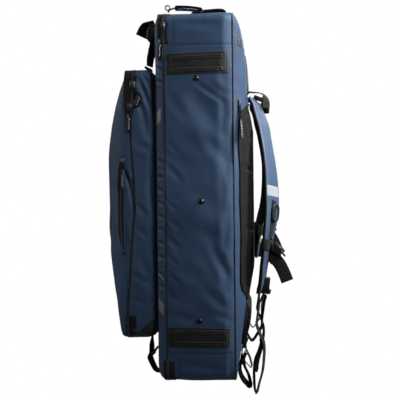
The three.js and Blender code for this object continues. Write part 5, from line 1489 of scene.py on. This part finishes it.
# hip loop and chest webbing: shares of STRAP_REACH and of BODY_HEIGHT
HIP_ROUTE = [
    (-0.33, 0.063), (-0.338, 0.05), (-0.377, 0.035), (-0.398, 0.022), (-0.354, 0.006),
    (-0.24, -0.008), (-0.106, -0.018), (0.01, -0.0255), (0.05, -0.018), (0.01, -0.006),
    (-0.037, 0.006), (-0.121, 0.018), (-0.204, 0.031), (-0.215, 0.047), (-0.219, 0.061),
]
STERNUM_ROUTE = [(0.8, 0.349), (0.93, 0.341), (1.08, 0.33), (1.302, 0.312), (1.469, 0.29), (1.619, 0.264)]
LOCK_SIZE = 11.4
LOCK_TALL = LOCK_SIZE * 0.8
LOCK_TOP = POCKET_TOP + 2 * GAP + LOCK_TALL
# front top strap: share of WEBBING_WIDTH forward, and of the way from its lock to the bag's top
UPPER_ROUTE = [
    (0.64, 0.01), (0.58, 0.17), (0.44, 0.31), (0.32, 0.45), (0.26, 0.6), (0.24, 0.8),
    (0.26, 0.86), (0.37, 0.905), (0.72, 0.9), (0.95, 0.845), (1.12, 0.745), (1.3, 0.635),
]
# front bottom strap: shares of WEBBING_WIDTH forward and of POCKET_LIFT
LOWER_FRONT = [
    (0.66, 0.975), (0.704, 0.815), (0.712, 0.593), (0.82, 0.506), (0.836, 0.444), (0.64, 0.299),
    (0.424, 0.174), (0.14, 0.119), (-0.12, 0.11),
]
# handle: shares of HANDLE_LENGTH and of HANDLE_RISE
HANDLE_ROWS = [
    (-0.66, 0.0), (-0.5, 0.0), (-0.42, 0.16), (-0.38, 0.6), (-0.3, 0.88), (0.0, 0.97), (0.26, 1.0),
    (0.36, 0.9), (0.41, 0.6), (0.44, 0.16), (0.48, 0.0), (0.53, 0.0),
]
# twists in degrees: shares of a webbing's length, then the twist there
LOWER_TWIST = ([0, 0.06, 0.2, 0.45, 0.55, 1], [0, 5, 9, 8, 10, 9])
LIFTER_TWIST = ([0, 0.2, 0.45, 0.6, 0.72, 0.84, 1], [0, 3, 6, 10, 26, 38, 38])
HIP_TWIST = ([0, 0.15, 0.4, 0.85, 1], [0, 14, 20, 16, 6])
LOWER_FRONT_TWIST = ([0, 0.2, 0.5, 0.8, 1], [0, 14, 18, 12, 0])
UPPER_TURN = [20, 26, 31, 31, 28, 24, 16, 10, 16, 40, 60, 66]
# buckles: place across, out and up, size across, out and up, lean in degrees; shares of the
# model piece's box, with the release buckle's place outwards in millimetres
RELEASE_BUCKLE = [
    (0, -0.4, -0.16, 1, 0.86, 0.62, -4), (0, -4.4, -0.16, 0.72, 0.6, 0.44, -4),
    (0, -3.6, -0.4, 0.8, 0.36, 0.1, -30), (0, -3.4, 0.08, 0.8, 0.4, 0.08, 24),
    (-0.36, 0, 0.2, 0.16, 0.44, 0.4, -3), (0.36, 0, 0.2, 0.16, 0.44, 0.4, -3),
    (0, 0, 0.2, 0.2, 0.36, 0.3, -3), (0, -1.2, 0.42, 1, 0.9, 0.11, 12),
    (0, -0.6, 0.27, 0.95, 0.4, 0.1, 0), (0, 1.0, -0.47, 0.98, 0.5, 0.07, 0),
]
CHEST_BUCKLE = [
    (0, -0.1, 0.12, 1.05, 0.5, 0.55, 38), (0, 0.16, -0.06, 0.9, 0.5, 0.42, 38),
    (0, 0.33, -0.22, 1.1, 0.12, 0.46, 38), (0, -0.36, 0.22, 1.25, 0.16, 0.5, 8),
]
FRONT_SIDE = POCKET_WIDTH * 0.345
HIP_SIDE = SIDE_FACE * 0.66
LIFTER_SIDE = STRAP_SPREAD * 0.57


def squared_ring(centre, reach, square, rise, square_up, count):
    """closed ring of points between a circle and a square: powers below one square it"""
    points = []
    for angle in np.linspace(0, 2 * math.pi, count + 1)[:-1]:
        ca, sa = math.cos(angle), math.sin(angle)
        points.append(centre + reach * math.copysign(abs(ca) ** square, ca)
                      + rise * math.copysign(abs(sa) ** square_up, sa))
    return points


def route_of(rows, side):
    """webbing route beside the back face, from shares of STRAP_REACH and of BODY_HEIGHT"""
    rows = np.array(rows)
    return np.stack([np.full(len(rows), 1.0) * side, BACK_FACE + rows[:, 0] * STRAP_REACH,
                     rows[:, 1] * BODY_HEIGHT], 1)


def front_route(rows, side, base, tall):
    """webbing route before the lid's face, from shares of WEBBING_WIDTH and of a height"""
    rows = np.array(rows)
    return np.stack([np.full(len(rows), 1.0) * side, LID_FACE - rows[:, 0] * WEBBING_WIDTH,
                     base + rows[:, 1] * tall], 1)


def node_box(node):
    """middle and size of a model piece, in millimetres from the bag's base"""
    low, high = (np.array(corner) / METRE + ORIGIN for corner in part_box(node))
    return (low + high) / 2, high - low


def bars_in(node, rows, millimetres=False):
    """bars from shares of a model piece's box; the outward place may be in millimetres"""
    (x, y, z), (w, t, h) = node_box(node)
    out = 1 if millimetres else t
    return [((x + w * a, y + out * b, z + h * c), (w * wide, t * deep, h * tall), lean)
            for a, b, c, wide, deep, tall, lean in rows]


def ladder_lock(name, node, centre, width, tall, deep, tilt):
    """frame of two rails and three bars, with a lip to lift"""
    x, y, z = centre
    rail = max(2.6, width * 0.1)
    parts = [((x - width / 2 + rail / 2, y, z), (rail, deep * 0.7, tall), 0),
             ((x + width / 2 - rail / 2, y, z), (rail, deep * 0.7, tall), 0)]
    for share, thick in ((0.42, 1.0), (0.0, 0.75), (-0.4, 1.0)):
        parts.append(((x, y + deep * 0.1 * (share < 0), z + share * tall),
                      (width - rail, deep * thick * 0.62, tall * 0.15), 0))
    parts.append(((x, y + deep * 0.34, z - tall * 0.36), (width * 0.62, deep * 0.3, tall * 0.26), -14))
    return bars(name, parts, PLASTIC, node=node, bevel=0.9, tilt=tilt, pivot=centre)


def box_stitch(path_corners, out):
    """sewn box with a cross in it, from its four corners"""
    c = [np.array(p, float) for p in path_corners]
    for a, b in ((0, 1), (1, 2), (2, 3), (3, 0), (0, 2), (1, 3)):
        stitch(np.linspace(c[a], c[b], 12), out, "black", pitch=3.0, length=2.0, size=0.4)


def webbing(name, path, across=(1, 0, 0), wide=1.0, thick=1.0, node=(), twist=0.0):
    """black webbing; width and thickness as shares of the usual ones"""
    return ribbon(name, path, across, WEBBING_WIDTH * wide, WEBBING_THICK * thick, WEBBING, node=node,
                  twist=twist)


def steel(name, *parts, bevel=0.6):
    """bare metal bars: centre, size and lean of each"""
    return bars(name, list(parts), STEEL, bevel=bevel)


def back_webbing(way, tag, flip):
    """webbing at the foot of a strap, load lifter at its top, and the hip loop"""
    route = route_of(LOWER_ROUTE, np.array(LOWER_ROUTE)[:, 2] * STRAP_SPREAD)
    swing = np.array(SWING) * (1.0 if way > 0 else 0.8)
    route[-len(SWING):, 1] += swing[:, 0] * STRAP_REACH
    route[-len(SWING):, 2] += swing[:, 1] * BODY_HEIGHT
    if way > 0:
        back = route_of(RETURN_RUN, np.array(RETURN_RUN)[:, 2] * STRAP_SPREAD)
        route = np.concatenate([route, back])
    path = smooth_path(route * flip, 2.5)
    lean = by_share(path, LOWER_TWIST) * way
    webbing(f"lower_strap_{tag}", path, node=f"lower_webbing_{tag}", twist=lean)
    tip = np.linspace(path[-5], path[-1] + (path[-1] - path[-5]) * 0.25, 5)
    webbing(f"lower_tip_{tag}", tip, wide=0.99, thick=2.0, twist=lean[-1])
    route = np.concatenate([route_of(LIFTER_ROUTE, LIFTER_SIDE), np.array(LIFTER_ROUTE)[:, 2:]], 1)
    fine = smooth_path(route * [way, 1, 1, 1], 2.0)
    webbing(f"lifter_strap_{tag}", fine[:, :3], thick=np.clip(fine[:, 3], 1, 2.2),
            node=f"load_lifter_{tag}", twist=by_share(fine, LIFTER_TWIST) * way)
    hip = smooth_path(route_of(HIP_ROUTE, HIP_SIDE * way), 2.0)
    webbing(f"hip_strap_{tag}", hip, wide=0.8, node=f"hip_loop_{tag}",
            twist=by_share(hip, HIP_TWIST) * (1.0 if way > 0 else -0.3))
    ladder_lock(f"hip_buckle_{tag}", (), (HIP_SIDE * way, 81.5, 38), 25, 25, 9.0, -22)
    steel(f"hip_bar_{tag}", ((HIP_SIDE * way, 80.5, 29), (20, 2.0, 2.0), 0))


def front_straps(way, tag, flip):
    """straps over the pocket's top and under its base, with their buckles"""
    route = front_route(UPPER_ROUTE, FRONT_SIDE, LOCK_TOP, BODY_HEIGHT - LOCK_TOP)
    fine = smooth_path(np.concatenate([route, np.radians(UPPER_TURN)[:, None]], 1), 2.0)
    across = np.stack([np.cos(fine[:, 3]), -np.sin(fine[:, 3]), 0 * fine[:, 3]], 1)
    webbing(f"front_upper_{tag}", fine[:, :3] * flip, across * flip, node=f"front_top_strap_{tag}")
    under = smooth_path(front_route(LOWER_FRONT, FRONT_SIDE * way, 0, POCKET_LIFT), 2.0)
    webbing(f"front_lower_{tag}", under, node=f"front_bottom_strap_{tag}",
            twist=by_share(under, LOWER_FRONT_TWIST) * way)
    node = f"front_top_buckle_{tag}"
    bars(f"release_buckle_{tag}", bars_in(node, RELEASE_BUCKLE, True), PLASTIC, node=node, bevel=1.6)
    c, d = node_box(f"front_top_lock_{tag}")
    ladder_lock(f"pocket_lock_{tag}", f"front_top_lock_{tag}", tuple(c + [0, 0, 0.3]), d[0], 14, 6.2, 62)
    steel(f"pocket_bar_{tag}", ((c[0], c[1] + 1.5, c[2] - 3.5), (d[0] * 0.8, 2.0, 1.8), 0), bevel=0.7)
    c, d = node_box(f"front_bottom_lock_{tag}")
    ladder_lock(f"base_lock_{tag}", f"front_bottom_lock_{tag}", tuple(c), d[0], 15, 6.5, -35)


def strap_buckles(way, tag, flip):
    """locks and chest buckle of a shoulder strap, with the chest webbing"""
    c, d = node_box(f"ladder_lock_{tag}")
    ladder_lock(f"strap_lock_{tag}", f"ladder_lock_{tag}", tuple(c), d[0], d[2] * 1.05, d[1] * 1.5, -6)
    c, d = node_box(f"lifter_buckle_{tag}")
    ladder_lock(f"lifter_lock_{tag}", f"lifter_buckle_{tag}", tuple(c), d[0], d[1] * 1.05, d[2] * 0.6, 68)
    c, d = node_box(f"sternum_buckle_{tag}")
    x, y, z = c
    node = f"sternum_buckle_{tag}"
    bars(f"chest_buckle_{tag}", bars_in(node, CHEST_BUCKLE), PLASTIC, node=node, bevel=1.4)
    ridge = [((x, y + d[1] * (0.28 + 0.06 * k), z - d[2] * (0.02 + 0.115 * k)), (d[0] * 1.16, 1.6, 1.6), 38)
             for k in range(4)]
    bars(f"chest_ridges_{tag}", ridge, REFLECT, bevel=0.5)
    own = [node_box(f"sternum_strap_{one}")[0] for one in ("right", tag)]
    move = own[1] - own[0] * flip
    chest = smooth_path(route_of(STERNUM_ROUTE, c[0]) + [0, move[1], move[2]], 2.0)
    sloped = np.array([0, 0.8, 0.6])
    webbing(f"chest_strap_{tag}", chest, sloped, node=f"sternum_strap_{tag}")
    webbing(f"chest_fold_{tag}", chest[3:14] + [way * -2.4, 0, 0], sloped, 1.1, 1.6)


def strap_trim(way, tag):
    """ring on a webbing strip, keeper and reflector of a shoulder strap"""
    c, _ = node_box(f"strap_ring_{tag}")
    centre, a, o = strap_place(tag, c[2], 0, 0)
    high, _, _ = strap_place(tag, c[2] + 18, 0, 0)
    low, _, _ = strap_place(tag, c[2] - 18, 0, 0)
    up = unit(high - low)
    lean = math.radians(8) * way * math.copysign(1, a[0])
    a_ring = a * math.cos(lean) - o * math.sin(lean)
    shift = a * 5.0 * way * math.copysign(1, a[0])
    ring = squared_ring(centre + shift + o * 4.6, a_ring * 11.9, 0.62, up * 15.9, 0.62, 48)
    tube(f"ring_{tag}", np.array(ring), 2.05, PLASTIC, closed=True, sides=14, node=f"strap_ring_{tag}")
    levels = np.linspace(c[2] + 24, c[2] - 78, 42)
    strip = np.array([strap_place(tag, z, 0, 0)[0] for z in levels])
    strip = drape(f"strap_cover_{tag}", strip + shift + o * 12, -o) + o * 1.0
    ribbon(f"daisy_strip_{tag}", strip, a, 20, 1.5, WEBBING)
    for dz in (21, 12, -22, -34, -50, -66):
        z = c[2] + dz
        p, a2, o2 = strap_place(tag, z, 0, 0)
        p = drape(f"strap_cover_{tag}", (p + o2 * 12)[None], -o2)[0]
        stitch(np.linspace(p - a2 * 9 + o2 * 1.9, p + a2 * 9 + o2 * 1.9, 6), o2, "black", 1.3, 1.1, 0.45)
    steel(f"ring_bar_{tag}", (tuple(strap_place(tag, c[2] - 48, 0, 2.4)[0]), (22, 2.6, 3.0), 0), bevel=0.9)
    # elastic keeper round the strap
    z0 = c[2] - 64
    path, width, _, _ = strap_path(tag)
    order = np.argsort(path[:, 2])
    w = np.interp(z0, path[order, 2], width[order])
    p, a2, o2 = strap_place(tag, z0, 0, -STRAP_COVER - GAP / 2)
    along = unit(np.cross(a2, o2))
    loop = squared_ring(p, a2 * (w / 2 + 1.9), 0.35, o2 * 7.7, 0.5, 56)
    ribbon(f"keeper_high_{tag}", np.array(loop + loop[:2]), along, 21, 1.3, BINDING)
    # reflector across the cover
    z0 = c[2] + 44
    corners = []
    for aside, dz in ((-24, -10), (31, -12), (31, 10), (-24, 12)):
        p, a2, o2 = strap_place(tag, z0 + dz - 3 * (aside < 0), aside, 0)
        corners.append(p + o2 * 15)
    _, a2, o2 = strap_place(tag, z0, 0, 0)
    skin(f"strap_reflector_{tag}", f"strap_cover_{tag}", corners, -o2, even_lift(0.35), REFLECT_PALE,
         step=1.6)


def rear_trim(way, tag):
    """anchor of the load lifter, sewn rows and patches near the rear gusset"""
    plate = ((LIFTER_SIDE * way, 94.5, 563), (28, 3.2, 5.5), 12)
    rod = ((LIFTER_SIDE * way, 96.6, 560), (26, 2.6, 2.6), 12)
    steel(f"anchor_plate_{tag}", plate, rod, bevel=0.8)
    far = way * CLEAR
    inward = np.array([-way, 0.0, 0.0])
    for z in (672.4, 654.2, 564.4, 546.4):
        line = np.linspace((far, 71.0, z), (far, 90.0, z), 24)
        stitch(drape("bag_shell", line, inward), (way * 0.6, 0.8, 0))
    skin(f"tag_patch_{tag}", "bag_shell",
         [(far, 76, 655.5), (far, 86, 655.5), (far, 85, 671), (far, 76, 671)],
         inward, even_lift(0.9), RUBBER, step=1.2)
    skin(f"join_strip_{tag}", "pocket_gusset",
         [(far, -95.5, 526), (far, -91.5, 526), (far, -89.5, 608), (far, -99.5, 608)],
         inward, even_lift(0.8), WEBBING, step=1.5)


for way, tag in SIDES:
    mirror = np.array([way, 1.0, 1.0])
    back_webbing(way, tag, mirror)
    front_straps(way, tag, mirror)
    strap_buckles(way, tag, mirror)
    strap_trim(way, tag)
    rear_trim(way, tag)


def cleats(a, b, long, tall):
    """low plate with cross ribs, ten millimetres apart"""
    return 0.9 + 1.9 * np.clip((3.1 - np.abs(b % 10 - 5)) / 0.7, 0, 1)


skin("base_grip", "bag_shell", [(-104, -10, -60), (104, -10, -60), (104, 49, -60), (-104, 49, -60)],
     np.array([0, 0, 1.0]), cleats, RUBBER, step=1.1)
for z in (672.4, 654.2):
    line = np.linspace((-112.0, BEHIND, z), (112.0, BEHIND, z), 60)
    stitch(drape("bag_shell", line, BACKWARD), (0, 1, 0.2))
loop_piece("pocket_join", cord_profile(2.4, 0, 10), POCKET_BACK - 2.2, POCKET_SIDE - 9.5, POCKET_LIFT + 9.5,
           POCKET_TOP - 9.5, 22, BINDING, (), unmoved)

# Handle

rows = np.array(HANDLE_ROWS)
seat = BODY_HEIGHT + GAP + HANDLE_THICK / 2
route = np.stack([0 * rows[:, 0], HANDLE_MIDDLE + rows[:, 0] * HANDLE_LENGTH,
                  seat + rows[:, 1] * HANDLE_RISE], 1)
grip = smooth_path(route, 1.8)
ribbon("carry_handle", grip, (1, 0, 0), HANDLE_WIDTH, HANDLE_THICK, WEBBING, node="top_handle")
for low, high in ((-0.655, -0.5), (0.45, 0.525)):
    y0, y1 = HANDLE_MIDDLE + low * HANDLE_LENGTH, HANDLE_MIDDLE + high * HANDLE_LENGTH
    z = seat + HANDLE_THICK / 2 + 0.15
    box_stitch([(-11, y0 + 1, z), (11, y0 + 1, z), (11, y1, z), (-11, y1, z)], (0, 0, 1))

# Zip pulls: slider, link and tab with plain marks

PROUD = 0.8 + GAP + PULL_THICK / 2
ZIP_TOP = BODY_HEIGHT + PROUD
TOP_SIDE = SIDE_FACE * 0.8
SIDE_OUT = SIDE_FACE + PROUD
POCKET_OUT = POCKET_SIDE + PROUD


def stops_from(corner, rows):
    """stops of a pull from a corner: shift of the place, way across, width share"""
    return [(np.add(corner, shift), across, wide) for *shift, across, wide in rows]


def stops_on(low, high, share, rows):
    """stops on the slope between two section points: lift, height, width share"""
    low, high = np.array([*low, 0.0]), np.array([*high, 0.0])
    across = unit(high - low)
    out = unit(np.array([abs(across[1]), abs(across[0]) * np.sign(low[1]), 0]))
    place = low * (1 - share) + high * share
    return [((*(place + out * lift)[:2], z), across, wide) for lift, z, wide in rows]


def front_row(k):
    """side and plane of a section of the pocket's front"""
    forward, side = POCKET_FRONT_ROWS[k][:2]
    return POCKET_SIDE - side * POCKET_WIDTH, POCKET_PLANE - forward * POCKET_BULGE


def back_row(k):
    """side and plane of a section of the bag's back"""
    out, side = BACK_ROWS[k + 1][:2]
    return SIDE_FACE - side * BODY_WIDTH, PIPING_PLANE + out * BACK_BULGE


SKIN = 1.0 + GAP * 3 + PULL_THICK / 2
BARE = GAP * 2 + PULL_THICK / 2
X, Y = (1, 0, 0), (0, 1, 0)
POCKET_PULL = (POCKET_OUT, POCKET_PLANE, POCKET_TOP)
PULLS = {
    "zip_pull_top": stops_from((TOP_SIDE, ZIP_PLANE, ZIP_TOP), [
        (0, -HALF_ZIP, 0, X, 0.7), (0, HALF_ZIP, 0, X, 0.7), (0, 5.6, 4.8, X, 0.7),
        (0, 9.4, 9.6, X, 0.7), (0, 18.8, 12.4, (0.35, 0, 1), 1),
        (0, 46.9, 11.0, (0.25, 0, 1), 1), (0, 73.7, 6.6, (0.25, 0, 1), 1)]),
    "zip_pull_side": stops_from((SIDE_OUT, ZIP_PLANE, 0), [
        (0, -HALF_ZIP, BODY_HEIGHT * 0.976, Y, 0.75), (0, -HALF_ZIP, BODY_HEIGHT * 0.955, Y, 0.75),
        (0, -6.4, BODY_HEIGHT * 0.93, Y, 1.1), (0, -10, BODY_HEIGHT * 0.87, Y, 1.1)]),
    "zip_pull_pocket_upper": stops_from(POCKET_PULL, [
        (0, 2, -POCKET_HEIGHT * 0.042, Y, 1.05), (0, 2, -POCKET_HEIGHT * 0.073, Y, 1.05),
        (1.5, 18, -POCKET_HEIGHT * 0.097, (0, 0.72, 0.6), 1.1),
        (2.0, 14, -POCKET_HEIGHT * 0.12, (0, 0.8, 0.6), 1.25),
        (1.5, 8.5, -POCKET_HEIGHT * 0.142, (0, 0.85, 0.55), 0.8)]),
    "zip_pull_pocket_lower": stops_from(POCKET_PULL, [
        (0, -4, -POCKET_HEIGHT * 0.125, Y, 0.8), (0, -4, -POCKET_HEIGHT * 0.15, Y, 0.8),
        (0, -4, -POCKET_HEIGHT * 0.165, Y, 1), (0, -6, -POCKET_HEIGHT * 0.236, Y, 1)]),
    "zip_pull_slash": stops_on(front_row(1), front_row(2), 0.6, [
        (SKIN, SLASH_TOP, 0.6), (SKIN, SLASH_TOP - 11.7, 0.6), (SKIN, SLASH_TOP - 21.4, 1),
        (SKIN * 1.4, SLASH_TOP - 63, 1)]),
    "zip_pull_back": stops_on(back_row(1), back_row(2), 0.5, [
        (BARE, BODY_HEIGHT * 0.765, 0.4), (BARE * 1.3, BODY_HEIGHT * 0.737, 0.4),
        (BARE * 2.4, BODY_HEIGHT * 0.708, 0.5), (BARE * 4.2, BODY_HEIGHT * 0.656, 0.55)]),
}
# outline of a tab with raised borders, in shares of its half width and half thickness
TAB = [
    (-1, -0.2), (-0.97, -0.8), (-0.88, -1), (-0.8, -0.72), (-0.4, -0.7), (0, -0.7), (0.4, -0.7),
    (0.8, -0.72), (0.88, -1), (0.97, -0.8), (1, -0.2), (1, 0.2), (0.97, 0.8), (0.88, 1),
    (0.8, 0.72), (0.4, 0.7), (0, 0.7), (-0.4, 0.7), (-0.8, 0.72), (-0.88, 1), (-0.97, 0.8), (-1, 0.2),
]
# marks on a tab: name, from and to as shares of its length, width and shift as shares of its width
MARKS = [
    ("corner", 0.1, 0.24, 0.26, -0.22, PRINT_BLUE), ("line_one", 0.3, 0.4, 0.1, 0.02, PRINT_PALE),
    ("line_two", 0.44, 0.56, 0.1, -0.04, PRINT_PALE), ("line_three", 0.6, 0.68, 0.1, 0.03, PRINT_PALE),
    ("line_four", 0.72, 0.84, 0.1, 0.0, PRINT_PALE),
]


SLIDER_SIDES = 20


def slider(name, a, b, side, wide):
    """slider body from a to b: a wide plate under a narrow bridge, both squared and rounded"""
    along = unit(b - a)
    out = np.cross(along, side)
    middle = (a + b) / 2
    if np.dot(out, middle - [0, 0, middle[2]]) < 0:
        out = -out
    long = np.linalg.norm(b - a)
    points, faces = [], []
    for lift, width, reach, thick in ((-0.2, wide * 0.95, long, 1.8), (1.6, wide * 0.5, long * 0.62, 1.7)):
        centre = middle + out * lift
        base = len(points)
        for level, grow in ((-0.5, 0.92), (-0.3, 1.0), (0.3, 1.0), (0.5, 0.86)):
            points += squared_ring(centre + out * thick * level, side * width * 0.5 * grow, 0.5,
                                   along * reach * 0.5 * grow, 0.5, SLIDER_SIDES)
        quads, _, _ = grid_faces(4, SLIDER_SIDES, around=True)
        faces += [[base + k for k in face] for face in with_ends(quads, 4, SLIDER_SIDES)]
    return add_mesh(name, np.array(points), faces, GUNMETAL)


def zip_pull(name, stops):
    """tab with plain marks, two cords and the slider, through the pull's stops"""
    places = np.array([s[0] for s in stops], float)
    across = unit(np.array([s[1] for s in stops], float))
    wide = np.array([s[2] for s in stops]) * PULL_WIDTH
    first = len(stops) - (3 if len(stops) > 4 else 2)
    tab = smooth_path(np.concatenate([places[first:], across[first:], wide[first:, None]], 1), 1.6)
    count = len(tab)
    rounding = np.clip(np.minimum(np.arange(count) + 0.6, count - 0.4 - np.arange(count)) / 2.2, 0.35,
                       1) ** 0.5
    ribbon(name + "_tab", tab[:, :3], tab[:, 3:6], tab[:, 6] * rounding, PULL_THICK, PLASTIC, node=name,
           section=TAB)
    for label, low, high, share, shift, material in MARKS:
        a, b = int(low * (count - 1)), max(int(high * (count - 1)), int(low * (count - 1)) + 1)
        part = tab[a:b + 1]
        for sign in (-1, 1):
            middle = part[:, :3] + part[:, 3:6] * part[:, 6:] * shift
            ribbon(f"{name}_{label}_{'ab'[sign > 0]}", middle, part[:, 3:6], part[:, 6] * share, 0.3,
                   material,
                   lift=sign * PULL_THICK * 0.39)
    link = smooth_path(places[:first + 1] if first > 1 else places[:2], 1.5)
    side = across[min(1, first)]
    for sign in (-1, 1):
        tube(f"{name}_link_{'ab'[sign > 0]}", link[len(link) // 3:] + side * 1.7 * sign, 1.25, BINDING,
             sides=8)
    slider(name + "_slider", places[0], places[1], side, wide[0])


for name, stops in PULLS.items():
    zip_pull(name, stops)
# ring that joins the top pull to its slider: its middle and radius
RING_Y, RING_Z, RING_RADIUS = -62.5, 738.5, 4.6
turn = np.linspace(0, 2 * math.pi, 33)[:-1]
tube("pull_ring_top", np.stack([np.full_like(turn, TOP_SIDE), RING_Y + RING_RADIUS * np.cos(turn),
                                RING_Z + RING_RADIUS * np.sin(turn)], 1), 1.35, GUNMETAL, closed=True,
                                sides=10)


make_stitches("stitches_navy", STITCHES["navy"], THREAD)
make_stitches("stitches_black", STITCHES["black"], THREAD_BLACK)
